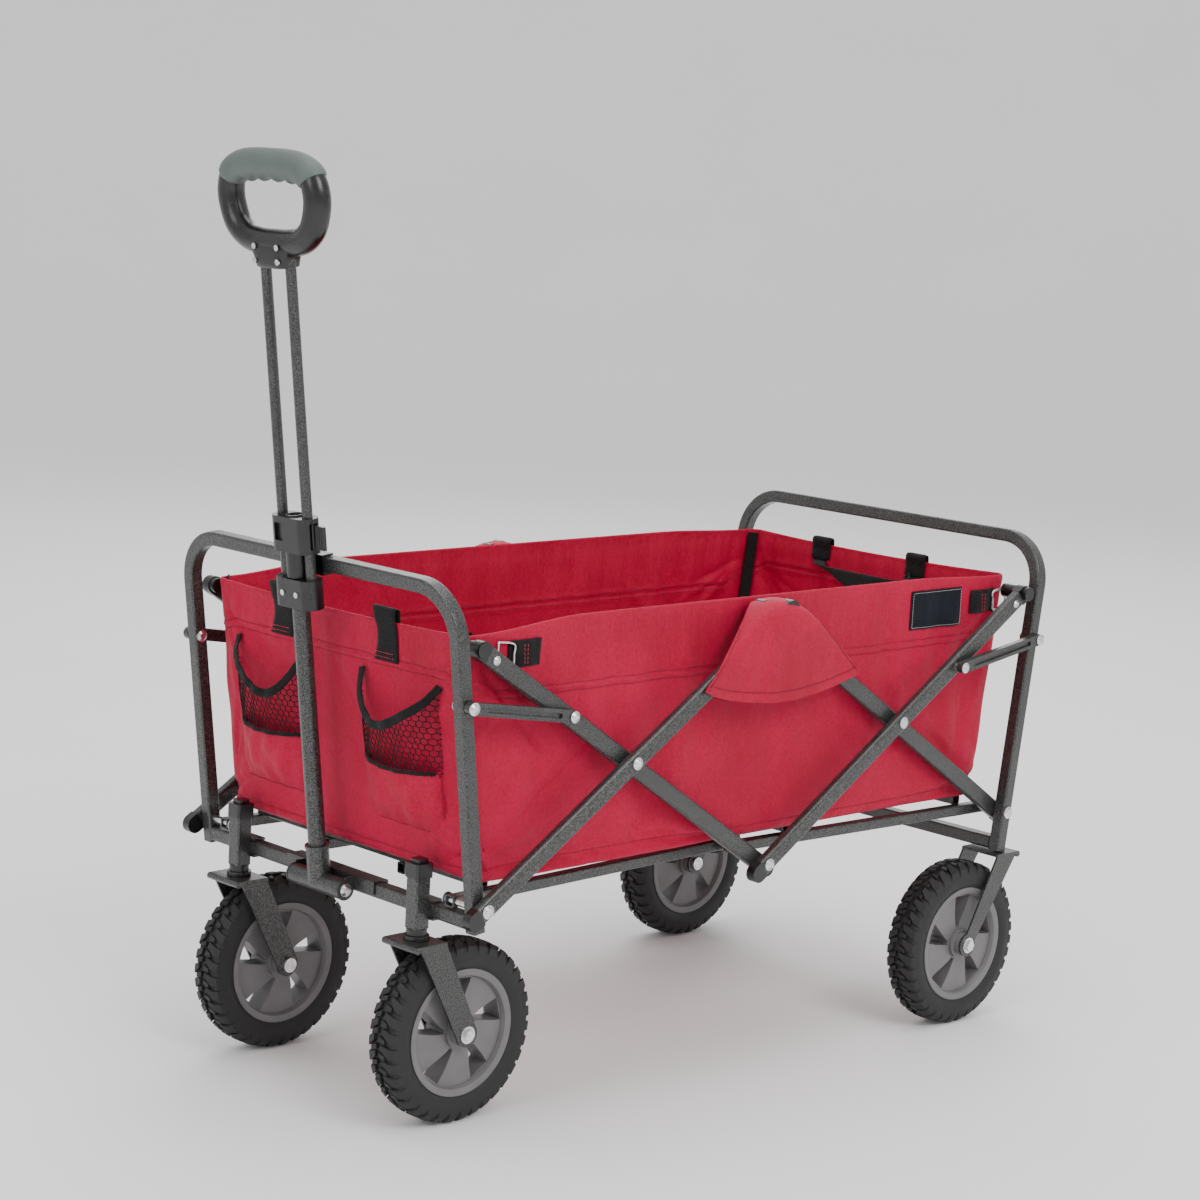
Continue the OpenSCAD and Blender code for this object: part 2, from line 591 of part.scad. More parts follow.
// Opening between two fan blades: one straight edge and one curved edge that open outwards
module blade_gap() {
    steps = 6;
    inner = 19;
    outer = 56.5;
    straight = [for (i = [0:steps]) let (r = inner + (outer - inner) * i / steps, a = 8 * i / steps)
        [r * cos(a), r * sin(a)]];
    curved = [for (i = [steps:-1:0]) let (r = inner + (outer - inner) * i / steps,
        a = 14 + 19 * (1 - pow(1 - i / steps, 2))) [r * cos(a), r * sin(a)]];
    polygon(concat(straight, curved));
}
module rim() rotate([90, 0, 0]) {
    rotate_extrude($fn = 96) polygon([[57, -13], [57, 13], [59, 17], [64, 18], [rim_r, 18], [rim_r, -18],
        [64, -18], [59, -17]]);
    linear_extrude(24, center = true) difference() {
        circle(57.5, $fn = 96);
        circle(12);
        for (i = [0:blades - 1]) rotate(i * 360 / blades) blade_gap();
    }
    difference() {
        union() {
            cylinder(h = 2 * leg_y - 2, r = 13, center = true);
            cylinder(h = 32, r = 17, center = true);
        }
        cylinder(h = 60, r = axle_bore, center = true);
    }
}
front_wheel = [swivel_x - trail, front_track, wheel_r];
rear_wheel = [-rear_axle_x, rear_track, wheel_r];
module front_left_tyre() color(rubber) centred() translate(front_wheel) tyre();
module front_right_tyre() color(rubber) centred() mirror([0, 1, 0]) translate(front_wheel) tyre();
module rear_left_tyre() color(rubber) centred() translate(rear_wheel) tyre();
module rear_right_tyre() color(rubber) centred() mirror([0, 1, 0]) translate(rear_wheel) tyre();
module front_left_rim() color(rim_grey) centred() translate(front_wheel) rim();
module front_right_rim() color(rim_grey) centred() translate([front_wheel.x, -front_track, wheel_r]) rim();
module rear_left_rim() color(rim_grey) centred() translate(rear_wheel) rim();
module rear_right_rim() color(rim_grey) centred() translate([rear_wheel.x, -rear_track, wheel_r]) rim();

// ---- bag: plain solids of the fabric walls and of the padded floor ----
function wall_x(z) = pivot_x + (z - pivot_z) * tan(lean) - bag_in / cos(lean);
module end_wall() {
    rotate([90, 0, 0]) linear_extrude(2 * bag_half_w, center = true) polygon([
        [wall_x(wall_low) - cloth, wall_low], [wall_x(wall_low), wall_low],
        [wall_x(hem_z), hem_z], [wall_x(hem_z) - cloth, hem_z]]);
}
module bag_front_wall() color(red) centred() end_wall();
module bag_rear_wall() color(red) centred() mirror([1, 0, 0]) end_wall();
// Half of a side wall, from the middle to the end wall
module side_half() {
    translate([0, bag_half_w, 0]) rotate([90, 0, 0]) linear_extrude(cloth) polygon([
        [0.2, bag_low], [pivot_x - floor_end, bag_low],
        [wall_x(wall_low) - cloth - 0.5, wall_low], [wall_x(hem_z) - cloth - 0.5, hem_z], [0.2, hem_z]]);
}
module bag_left_front() color(red) centred() side_half();
module bag_left_rear() color(red) centred() mirror([1, 0, 0]) side_half();
module bag_right_front() color(red) centred() mirror([0, 1, 0]) side_half();
module bag_right_rear() color(red) centred() mirror([1, 0, 0]) mirror([0, 1, 0]) side_half();
module floor_half() {
    half = bag_half_w - cloth - 0.3;
    translate([0.3, -half, bag_low]) cube([pivot_x - floor_end - 0.3, 2 * half, floor_t]);
}
module floor_front() color(red) centred() floor_half();
module floor_rear() color(red) centred() mirror([1, 0, 0]) floor_half();
// Two cup pockets on the front wall
pocket_y = 112;
module cup_pockets() color(red) centred() for (s = [-1, 1]) difference() {
    front_plane() translate([-bag_in + 0.4, s * pocket_y, 50]) linear_extrude(145) intersection() {
        translate([-26, 0]) circle(r = 55);
        translate([0, -60]) square([60, 120]);
    }
    front_plane() translate([-bag_in + 0.4, s * pocket_y, 56]) linear_extrude(160) intersection() {
        translate([-28, 0]) circle(r = 53);
        translate([0, -60]) square([60, 120]);
    }
}
// Fan-shaped flaps that cover the middle top pivots
flap_y = outer_face + 4.5;
module side_flaps() color(red) centred() both_sides() translate([0, flap_y + 3, 0]) rotate([90, 0, 0])
    linear_extrude(3) polygon(concat([[0, hem_z - 1]],
        [for (a = [-50:10:50]) [118 * sin(a) * 1.22, hem_z + 4 - 100 * cos(a)]]));

front_hoop();
front_cross_tube();
caster_housings();
swivel_bearings();
housing_caps();
handle_bracket();
front_frame_bolts();
rear_hoop();
rear_cross_tube();
rear_forks();
rear_frame_bolts();
rear_axles();
front_lower_braces();
front_upper_braces();
rear_lower_braces();
rear_upper_braces();
front_lower_brace_caps();
front_upper_brace_caps();
rear_lower_brace_caps();
rear_upper_brace_caps();
front_lower_brace_rivets();
front_upper_brace_rivets();
rear_upper_brace_rivets();
front_links();
rear_links();
front_link_rivets();
rear_link_rivets();
front_floor_frame();
rear_floor_frame();
pivot_sleeve();
handle_pivot_bolt();
lower_handle_tube();
handle_clamp();
rail_clip();
clamp_lever();
handle_rods();
handle_collar();
handle_grip();
grip_pad();
handle_rivets();
left_caster_fork();
right_caster_fork();
left_caster_axle();
right_caster_axle();
front_left_tyre();
front_right_tyre();
rear_left_tyre();
rear_right_tyre();
front_left_rim();
front_right_rim();
rear_left_rim();
rear_right_rim();
bag_front_wall();
bag_rear_wall();
bag_left_front();
bag_left_rear();
bag_right_front();
bag_right_rear();
floor_front();
floor_rear();
cup_pockets();
side_flaps();
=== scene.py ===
"""The folding wagon's looks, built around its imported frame. Metres: +X to the handle, +Y left, +Z up."""
import json
import math
import random

import bmesh
import bpy
import numpy as np
from mathutils import Matrix, Vector


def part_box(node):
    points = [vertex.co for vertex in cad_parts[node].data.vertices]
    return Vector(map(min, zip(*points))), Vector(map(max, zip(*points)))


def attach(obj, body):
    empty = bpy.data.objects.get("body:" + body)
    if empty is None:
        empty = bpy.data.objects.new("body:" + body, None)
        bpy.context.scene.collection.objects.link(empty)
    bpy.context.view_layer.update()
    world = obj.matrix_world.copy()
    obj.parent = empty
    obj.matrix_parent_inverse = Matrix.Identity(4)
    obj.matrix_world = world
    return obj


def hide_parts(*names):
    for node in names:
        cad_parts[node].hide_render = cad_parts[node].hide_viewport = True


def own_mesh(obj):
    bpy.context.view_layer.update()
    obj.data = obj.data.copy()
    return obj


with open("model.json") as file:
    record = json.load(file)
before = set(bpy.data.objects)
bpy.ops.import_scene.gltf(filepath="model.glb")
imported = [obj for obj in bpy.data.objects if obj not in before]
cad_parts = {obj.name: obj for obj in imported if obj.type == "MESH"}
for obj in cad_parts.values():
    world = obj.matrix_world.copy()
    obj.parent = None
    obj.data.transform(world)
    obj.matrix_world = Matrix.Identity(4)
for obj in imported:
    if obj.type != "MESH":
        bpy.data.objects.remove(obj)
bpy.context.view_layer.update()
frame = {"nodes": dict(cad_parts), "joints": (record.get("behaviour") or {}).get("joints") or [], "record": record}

# ---- places, worked out from the frame ----
MM = 0.001
joints = {j["name"]: j for j in frame["joints"]}


def pivot(name):
    return Vector(joints[name]["pos_m"])


front_foot = pivot("fold")
rear_foot = pivot("rear_pivot")
middle = (front_foot.x + rear_foot.x) / 2
half_length = (front_foot.x - rear_foot.x) / 2
foot_z = front_foot.z
up_post = Vector(joints["handle_slide"]["axis"])      # along the front posts and the handle
lean = up_post.x / up_post.z
bag_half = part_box("bag_left_front")[1].y
bag_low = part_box("floor_front")[0].z
hem_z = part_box("bag_left_front")[1].z
wall_in = 18.1 * MM                                   # end walls behind the middle of the posts


def end_x(z):
    """Distance of an end wall from the wagon's middle, at height z."""
    return half_length + (z - foot_z) * lean - wall_in


# ---- small mesh tools ----
def smooth01(t):
    t = np.clip(t, 0, 1)
    return t * t * (3 - 2 * t)


def rim_of(grid):
    """The grid's border as one closed ring."""
    return np.concatenate([grid[0], grid[1:, -1], grid[-1, -2::-1], grid[-2:0:-1, 0]])


def mesh_piece(name, verts, faces, mat, uvs=None, shade=True):
    me = bpy.data.meshes.new(name)
    me.from_pydata([tuple(v) for v in verts], [], faces)
    me.update()
    if shade:
        me.polygons.foreach_set("use_smooth", [True] * len(me.polygons))
    if uvs is not None:
        layer = me.uv_layers.new(name="metres")
        index = np.zeros(len(me.loops), np.int32)
        me.loops.foreach_get("vertex_index", index)
        layer.data.foreach_set("uv", np.asarray(uvs, np.float32)[index].ravel())
    me.materials.append(mat)
    ob = bpy.data.objects.new(name, me)
    bpy.context.scene.collection.objects.link(ob)
    return ob


def grid_faces(rows, cols, wrap_rows=False, wrap_cols=False, start=0):
    faces = []
    for r in range(rows if wrap_rows else rows - 1):
        for c in range(cols if wrap_cols else cols - 1):
            r1, c1 = (r + 1) % rows, (c + 1) % cols
            corners = (r * cols + c, r * cols + c1, r1 * cols + c1, r1 * cols + c)
            faces.append(tuple(start + k for k in corners))
    return faces


class Builder:
    """Collects vertices and faces of several simple shapes for one piece."""

    def __init__(self):
        self.verts, self.faces = [], []

    def grid(self, pts, wrap_rows=False, wrap_cols=False):
        pts = np.asarray(pts, float)
        rows, cols = pts.shape[:2]
        self.faces += grid_faces(rows, cols, wrap_rows, wrap_cols, len(self.verts))
        self.verts += [tuple(p) for p in pts.reshape(-1, 3)]

    def cap(self, ring):
        start = len(self.verts)
        self.verts += [tuple(p) for p in ring]
        self.faces.append(tuple(range(start, start + len(ring))))

    def tube(self, path, radius, sides=10, across=None, flat=1.0):
        """A closed tube along a path; flat under 1 presses it thinner square to across."""
        path = np.asarray(path, float)
        tangent = np.gradient(path, axis=0)
        tangent /= np.linalg.norm(tangent, axis=1)[:, None]
        radius = np.broadcast_to(radius, len(path))
        ref = np.array(across if across is not None else (0.31, 0.22, 0.92), float)
        a = ref - (tangent @ ref)[:, None] * tangent
        a /= np.linalg.norm(a, axis=1)[:, None]
        b = np.cross(tangent, a)
        turn = np.linspace(0, 2 * math.pi, sides, endpoint=False)
        rings = (path[:, None] + radius[:, None, None] * (np.cos(turn)[None, :, None] * a[:, None]
                 + flat * np.sin(turn)[None, :, None] * b[:, None]))
        self.grid(rings, wrap_cols=True)
        self.cap(rings[0][::-1])
        self.cap(rings[-1])

    def lathe(self, profile, centre, segments=96):
        """Profile points are (y, radius) of a closed outline, turned about the Y axis through centre."""
        turn = np.linspace(0, 2 * math.pi, segments, endpoint=False)
        rings = [[(centre[0] + r * math.cos(t), centre[1] + y, centre[2] + r * math.sin(t)) for y, r in profile]
                 for t in turn]
        self.grid(rings, wrap_rows=True, wrap_cols=True)

    def piece(self, name, mat, shade=True):
        return mesh_piece(name, self.verts, self.faces, mat, shade=shade)


def through(points, steps):
    """A smooth curve through the points."""
    p = np.asarray(points, float)
    p = np.vstack([2 * p[0] - p[1], p, 2 * p[-1] - p[-2]])
    out = []
    for i in range(1, len(p) - 2):
        for t in np.linspace(0, 1, steps, endpoint=False):
            out.append(0.5 * (2 * p[i] + (p[i + 1] - p[i - 1]) * t
                              + (2 * p[i - 1] - 5 * p[i] + 4 * p[i + 1] - p[i + 2]) * t * t
                              + (3 * p[i] - p[i - 1] - 3 * p[i + 1] + p[i + 2]) * t ** 3))
    out.append(p[-2])
    return np.array(out)


def strap(name, path, across, width, mat, thick=1.6 * MM, steps=6):
    """A flat woven strap along a smooth path. across is its width direction, one for all or one per point;
    width may be one per point too."""
    path = np.asarray(path, float)
    n = len(path)
    across = np.broadcast_to(np.asarray(across, float), (n, 3))
    width = np.broadcast_to(np.asarray(width, float), n)
    line, side = through(path, steps), through(across, steps)
    wide = through(np.stack([width, width * 0, width * 0], 1), steps)[:, 0]
    side /= np.linalg.norm(side, axis=1)[:, None]
    tangent = np.gradient(line, axis=0)
    normal = np.cross(tangent, side)
    normal /= np.linalg.norm(normal, axis=1)[:, None]
    cols = 9
    u = np.linspace(-0.5, 0.5, cols)
    edge = thick / 2 * np.sqrt(np.clip(1 - (np.abs(u) * 2) ** 8, 0.06, 1))
    flat = line[:, None] + side[:, None] * (u[None, :, None] * wide[:, None, None])
    lift = normal[:, None] * edge[None, :, None]
    loop = np.concatenate([flat + lift, (flat - lift)[:, ::-1]], axis=1)
    b = Builder()
    b.grid(loop, wrap_cols=True)
    b.cap(loop[0][::-1])
    b.cap(loop[-1])
    length = np.concatenate([[0], np.cumsum(np.linalg.norm(np.diff(line, axis=0), axis=1))])
    uv = np.stack([np.broadcast_to(length[:, None], loop.shape[:2]),
                   np.broadcast_to(np.concatenate([u, u[::-1]])[None], loop.shape[:2]) * wide[:, None]], -1)
    uv = np.concatenate([uv.reshape(-1, 2), uv[0][::-1], uv[-1]])
    return mesh_piece(name, b.verts, b.faces, mat, uvs=uv)


def stitch_row(builder, line, normal, pitch=4.2 * MM, length=2.9 * MM, radius=0.42 * MM):
    """Adds thread stitches along a line that lies on a surface."""
    line, normal = np.asarray(line, float), np.asarray(normal, float)
    along = np.concatenate([[0], np.cumsum(np.linalg.norm(np.diff(line, axis=0), axis=1))])
    for s in np.arange(pitch / 2, along[-1] - length / 2, pitch):
        at = [np.interp(s + d * length / 2, along, line[:, k]) for d in (-1, 0, 1) for k in range(3)]
        at = np.array(at).reshape(3, 3)
        n = np.array([np.interp(s, along, normal[:, k]) for k in range(3)])
        n /= np.linalg.norm(n)
        lift = np.array([-0.25, 0.35, -0.25])[:, None] * radius * n
        builder.tube(at + lift, [radius * 0.7, radius, radius * 0.7], sides=5, across=n)


# ---- materials ----
def new_material(name):
    mat = bpy.data.materials.new(name)
    mat.use_nodes = True
    tree = mat.node_tree
    shader = tree.nodes["Principled BSDF"]

    def add(kind, links=None, **props):
        node = tree.nodes.new("ShaderNode" + kind)
        for key, value in props.items():
            if key in ("operation", "blend_type", "data_type", "feature", "bands_direction"):
                setattr(node, key, value)
            else:
                node.inputs[key.replace("_", " ")].default_value = value
        for key, source in (links or {}).items():
            tree.links.new(source, node.inputs[key])
        return node

    def link(source, target):
        tree.links.new(source, target)

    return mat, add, link, shader


def ramp(add, fac, stops):
    node = add("ValToRGB", {"Fac": fac})
    node.color_ramp.elements[0].position = stops[0][0]
    node.color_ramp.elements[0].color = (*stops[0][1], 1)
    node.color_ramp.elements[1].position = stops[-1][0]
    node.color_ramp.elements[1].color = (*stops[-1][1], 1)
    for pos, col in stops[1:-1]:
        node.color_ramp.elements.new(pos).color = (*col, 1)
    return node.outputs["Color"]


def grey(v, tint=(1, 1, 1)):
    return tuple(v * t for t in tint)


def hammered_paint(name, dark, light, rough=0.36):
    """Hammered powder coat: fine pale speckle in a dark grey, with a pebbled surface."""
    mat, add, link, shader = new_material(name)
    place = add("TexCoord").outputs["Object"]
    speck = add("TexNoise", {"Vector": place}, Scale=820.0, Detail=2.5, Roughness=0.6)
    cloud = add("TexNoise", {"Vector": place}, Scale=24.0, Detail=3.0)
    tint = (0.95, 1.0, 0.96)
    colour = ramp(add, speck.outputs["Fac"], [(0.40, grey(dark, tint)), (0.53, grey((dark + light) / 2, tint)),
                                             (0.66, grey(light, (1, 1, 0.98)))])
    tone = ramp(add, cloud.outputs["Fac"], [(0.35, grey(0.86)), (0.65, grey(1.0))])
    mixed = add("Mix", data_type="RGBA", blend_type="MULTIPLY")
    mixed.inputs["Factor"].default_value = 1.0
    link(colour, mixed.inputs["A"])
    link(tone, mixed.inputs["B"])
    link(mixed.outputs["Result"], shader.inputs["Base Color"])
    pebble = add("TexVoronoi", {"Vector": place}, Scale=430.0, feature="SMOOTH_F1", Smoothness=0.7)
    both = add("Math", {0: pebble.outputs["Distance"], 1: speck.outputs["Fac"]}, operation="ADD")
    bump = add("Bump", {"Height": both.outputs[0]}, Strength=0.42, Distance=0.0006)
    link(bump.outputs["Normal"], shader.inputs["Normal"])
    shader.inputs["Metallic"].default_value = 0.45
    shader.inputs["Roughness"].default_value = rough
    shader.inputs["Coat Weight"].default_value = 0.35
    shader.inputs["Coat Roughness"].default_value = 0.22
    return mat


def zinc_plate(name):
    mat, add, link, shader = new_material(name)
    place = add("TexCoord").outputs["Object"]
    haze = add("TexNoise", {"Vector": place}, Scale=180.0, Detail=4.0)
    link(ramp(add, haze.outputs["Fac"], [(0.3, (0.55, 0.55, 0.57)), (0.7, (0.86, 0.86, 0.88))]),
         shader.inputs["Base Color"])
    link(ramp(add, haze.outputs["Fac"], [(0.3, grey(0.34)), (0.7, grey(0.2))]), shader.inputs["Roughness"])
    bump = add("Bump", {"Height": haze.outputs["Fac"]}, Strength=0.12, Distance=0.0003)
    link(bump.outputs["Normal"], shader.inputs["Normal"])
    shader.inputs["Metallic"].default_value = 1.0
    return mat


def moulded(name, dark, light, rough_low, rough_high, grain=900.0, depth=0.08, coat=0.0):
    """Moulded plastic or rubber: faint colour drift, fine grain and patches of different gloss."""
    mat, add, link, shader = new_material(name)
    place = add("TexCoord").outputs["Object"]
    cloud = add("TexNoise", {"Vector": place}, Scale=30.0, Detail=5.0)
    fine = add("TexNoise", {"Vector": place}, Scale=grain, Detail=2.0)
    link(ramp(add, cloud.outputs["Fac"], [(0.3, dark), (0.7, light)]), shader.inputs["Base Color"])
    link(ramp(add, cloud.outputs["Fac"], [(0.3, grey(rough_low)), (0.7, grey(rough_high))]),
         shader.inputs["Roughness"])
    bump = add("Bump", {"Height": fine.outputs["Fac"]}, Strength=depth, Distance=0.0004)
    link(bump.outputs["Normal"], shader.inputs["Normal"])
    shader.inputs["Coat Weight"].default_value = coat
    shader.inputs["Coat Roughness"].default_value = 0.18
    return mat


def tyre_rubber(name):
    """Black rubber with pale patches of dust and a faint grain."""
    mat, add, link, shader = new_material(name)
    place = add("TexCoord").outputs["Object"]
    cloud = add("TexNoise", {"Vector": place}, Scale=45.0, Detail=6.0, Roughness=0.65)
    fine = add("TexNoise", {"Vector": place}, Scale=700.0, Detail=3.0)
    link(ramp(add, cloud.outputs["Fac"], [(0.3, grey(0.008)), (0.6, grey(0.015)), (0.8, (0.030, 0.029, 0.027))]),
         shader.inputs["Base Color"])
    link(ramp(add, cloud.outputs["Fac"], [(0.3, grey(0.55)), (0.7, grey(0.78))]), shader.inputs["Roughness"])
    bump = add("Bump", {"Height": fine.outputs["Fac"]}, Strength=0.25, Distance=0.0005)
    link(bump.outputs["Normal"], shader.inputs["Normal"])
    return mat


def woven(name, dark, light, pitch, sheen, rough=0.62, strength=0.35, scale_uv=True):
    """Woven cloth: two crossed waves in the cloth's own metres, with slubs and soft colour drift."""
    mat, add, link, shader = new_material(name)
    uv = add("TexCoord").outputs["UV"] if scale_uv else add("TexCoord").outputs["Object"]
    place = add("TexCoord").outputs["Object"]
    turns = math.pi / pitch / 10
    warp = add("TexWave", {"Vector": uv}, Scale=turns, Distortion=0.6, Detail=1.0, bands_direction="X")
    weft = add("TexWave", {"Vector": uv}, Scale=turns, Distortion=0.6, Detail=1.0, bands_direction="Y")
    cross = add("Math", {0: warp.outputs["Fac"], 1: weft.outputs["Fac"]}, operation="ADD")
    slub = add("TexNoise", {"Vector": place}, Scale=330.0, Detail=3.0)
    drift = add("TexNoise", {"Vector": place}, Scale=11.0, Detail=4.0)
    mixed = add("Math", {0: slub.outputs["Fac"], 1: drift.outputs["Fac"]}, operation="ADD")
    half = add("Math", {0: mixed.outputs[0]}, operation="MULTIPLY")
    half.inputs[1].default_value = 0.5
    link(ramp(add, half.outputs[0], [(0.38, dark), (0.62, light)]), shader.inputs["Base Color"])
    height = add("Math", {0: cross.outputs[0], 1: slub.outputs["Fac"]}, operation="ADD")
    bump = add("Bump", {"Height": height.outputs[0]}, Strength=strength, Distance=0.0004)
    link(bump.outputs["Normal"], shader.inputs["Normal"])
    shader.inputs["Roughness"].default_value = rough
    shader.inputs["Sheen Weight"].default_value = sheen
    shader.inputs["Sheen Roughness"].default_value = 0.4
    shader.inputs["Specular IOR Level"].default_value = 0.2
    return mat


steel = hammered_paint("hammered_steel", 0.010, 0.115)
rod_steel = hammered_paint("rod_steel", 0.014, 0.11, 0.32)
zinc = zinc_plate("zinc_steel")
plastic = moulded("black_plastic", grey(0.003), grey(0.007), 0.24, 0.38, depth=0.06, coat=0.15)
pad_rubber = moulded("grip_rubber", (0.085, 0.105, 0.10), (0.105, 0.13, 0.122), 0.5, 0.62, depth=0.15)
rim_plastic = moulded("rim_plastic", (0.125, 0.120, 0.122), (0.16, 0.155, 0.157), 0.34, 0.46, depth=0.05)
tyre = tyre_rubber("tyre_rubber")
red_cloth = woven("red_fabric", (0.36, 0.001, 0.026), (0.50, 0.002, 0.046), 0.9 * MM, 0.05, rough=0.56)
webbing = woven("black_webbing", grey(0.004), grey(0.010), 1.7 * MM, 0.08, rough=0.75, strength=0.7)
net_cord = woven("black_mesh", grey(0.003), grey(0.008), 0.6 * MM, 0.05, rough=0.7, scale_uv=False)
black_thread = moulded("black_thread", (0.05, 0.004, 0.01), (0.09, 0.008, 0.02), 0.5, 0.7)
red_thread = moulded("red_thread", (0.5, 0.02, 0.05), (0.62, 0.04, 0.08), 0.5, 0.7)
dark_patch = woven("patch_cloth", (0.002, 0.003, 0.007), (0.005, 0.007, 0.014), 0.7 * MM, 0.02, rough=0.6)

by_slot = {"hammered_steel": steel, "rod_steel": rod_steel, "zinc_steel": zinc, "black_plastic": plastic,
           "grip_rubber": pad_rubber, "tyre_rubber": tyre, "rim_plastic": rim_plastic, "red_fabric": red_cloth,
           "black_mesh": net_cord}
slot_of = {row["node"]: row["material_slot"] for row in frame["record"]["subparts"]}


def dress_frame():
    """Gives every CAD node the finish of its slot."""
    for node, ob in frame["nodes"].items():
        ob.data.materials.clear()
        ob.data.materials.append(by_slot[slot_of[node]])


# ---- the sewn tub ----
WALL_T = 2.6 * MM
SIDE_COLS, END_COLS, CORNER_COLS = 104, 50, 3
ROWS = 32
HANG_FRAMES = 26
corner_r = 14 * MM


def tub_columns():
    """One entry per column round the tub: unit place along both walls, and the outward direction."""
    cols = []
    corners = [(1, 1), (-1, 1), (-1, -1), (1, -1)]
    for k, (fx, fy) in enumerate(corners):
        nx, ny = corners[(k + 1) % 4]
        n = SIDE_COLS if fy == ny else END_COLS
        out = (0, fy) if fy == ny else (fx, 0)
        for i in range(n):
            t = i / (n - 1)
            cols.append((fx + (nx - fx) * t, fy + (ny - fy) * t, *out))
        nxt = (0, ny) if fy != ny else (nx, 0)
        for i in range(1, CORNER_COLS + 1):
            a = math.pi / 2 * i / (CORNER_COLS + 1)
            turned = [o * math.cos(a) + m * math.sin(a) for o, m in zip(out, nxt)]
            cols.append((nx, ny, *turned))
    return np.array(cols)


columns = tub_columns()


def hem_line(fx, fy):
    """Height of the hem: a little lower at the ends of the sides, and sagging between the corners."""
    side_drop = 0.011 * smooth01((np.abs(fx) - 0.62) / 0.38) * np.where(fx > 0, 1.0, 0.45)
    end_sag = 0.004 * (1 - fy ** 2) * (np.abs(fx) > 0.99)
    return hem_z + 0.002 - side_drop - end_sag


def tub_rest():
    """Grid of the tub before it hangs, rows from the bottom hem to the top hem."""
    fx, fy, cx, cy = columns.T
    v = np.linspace(0, 1, ROWS)[:, None]
    z = bag_low + v * (hem_line(fx, fy) - bag_low)
    long = end_x(z) - corner_r
    wide = bag_half - corner_r - 0.001
    x = middle + fx * long + corner_r * cx
    y = fy * wide + corner_r * cy
    return np.stack([x, np.broadcast_to(y, x.shape), z], -1)


def hang(rest):
    """Lets the cloth settle between its sewn edges with Blender's cloth solver."""
    rows, cols = rest.shape[:2]
    start = rest.copy()
    rng = random.Random(11)
    bumps = [(rng.uniform(0, cols), rng.uniform(4, rows - 6), rng.uniform(4, 9), rng.uniform(2.5, 6),
              rng.uniform(-1, 1)) for _ in range(90)]
    c, r = np.meshgrid(np.arange(cols), np.arange(rows))
    push = np.zeros((rows, cols))
    for c0, r0, wc, wr, amount in bumps:
        dc = (c - c0 + cols / 2) % cols - cols / 2
        push += amount * np.exp(-(dc / wc) ** 2 - ((r - r0) / wr) ** 2)
    v = r / (rows - 1)
    push *= 2.2 * MM * np.sin(math.pi * np.clip(v, 0, 1))
    start[..., 0] += columns[:, 2] * push
    start[..., 1] += columns[:, 3] * push
    ob = mesh_piece("tub_sim", start.reshape(-1, 3), grid_faces(rows, cols, wrap_cols=True), red_cloth)
    pins = ob.vertex_groups.new(name="pins")
    weight = np.zeros((rows, cols))
    weight[0] = weight[-1] = 1.0
    weight[-2] = 0.6
    near_corner = (np.abs(columns[:, 0]) > 0.985) & (np.abs(columns[:, 1]) > 0.97)
    weight[:, near_corner] = np.maximum(weight[:, near_corner], np.where(v[:, near_corner] > 0.72, 0.9, 0.25))
    for i, w in enumerate(weight.ravel()):
        if w > 0:
            pins.add([i], float(w), "REPLACE")
    cloth = ob.modifiers.new("hang", "CLOTH").settings
    cloth.quality = 6
    cloth.mass = 0.25
    cloth.tension_stiffness = cloth.compression_stiffness = 12
    cloth.shear_stiffness = 4
    cloth.bending_stiffness = 3.0
    cloth.air_damping = 2.0
    cloth.vertex_group_mass = "pins"
    cloth.shrink_min = -0.011
    scene = bpy.context.scene
    scene.frame_start, scene.frame_end = 1, HANG_FRAMES
    for f in range(1, HANG_FRAMES + 1):
        scene.frame_set(f)
    dg = bpy.context.evaluated_depsgraph_get()
    made = ob.evaluated_get(dg).to_mesh()
    co = np.zeros(len(made.vertices) * 3)
    made.vertices.foreach_get("co", co)
    ob.evaluated_get(dg).to_mesh_clear()
    bpy.data.objects.remove(ob)
    scene.frame_set(1)
    moved = co.reshape(rest.shape) - rest
    out = np.stack([columns[:, 2], columns[:, 3], columns[:, 2] * 0], -1)
    proud = (moved * out).sum(-1)
    limit = 7 * MM
    softer = np.where(proud > 0, limit * np.tanh(proud / limit), 2 * limit * np.tanh(proud / limit / 2))
    return rest + moved + out * (softer - proud)[..., None]


def resample(grid, row_at, col_at):
    """Smooth values of the grid at fractional rows and columns; columns wrap round."""
    rows, cols = grid.shape[:2]

    def weights(t):
        return (0.5 * (-t + 2 * t ** 2 - t ** 3), 0.5 * (2 - 5 * t ** 2 + 3 * t ** 3),
                0.5 * (t + 4 * t ** 2 - 3 * t ** 3), 0.5 * (-t ** 2 + t ** 3))

    ri, ci = np.floor(row_at).astype(int), np.floor(col_at).astype(int)
    ri = np.minimum(ri, rows - 2)
    wr, wc = weights(row_at - ri), weights(col_at - ci)
    out = 0
    for a in range(4):
        rr = ri + a - 1
        low, high = rr < 0, rr > rows - 1
        rr = np.clip(rr, 0, rows - 1)
        for b in range(4):
            cc = (ci + b - 1) % cols
            g = grid[rr, cc]
            g = np.where(low[..., None], 2 * grid[0, cc] - grid[1, cc], g)
            g = np.where(high[..., None], 2 * grid[-1, cc] - grid[-2, cc], g)
            out = out + (wr[a] * wc[b])[..., None] * g
    return out


def normals_of(g):
    """Outward unit normals of a grid that wraps in its columns."""
    dc = np.roll(g, -1, 1) - np.roll(g, 1, 1)
    dr = np.gradient(g, axis=0)
    n = np.cross(dc, dr)
    return n / np.maximum(np.linalg.norm(n, axis=-1), 1e-9)[..., None]


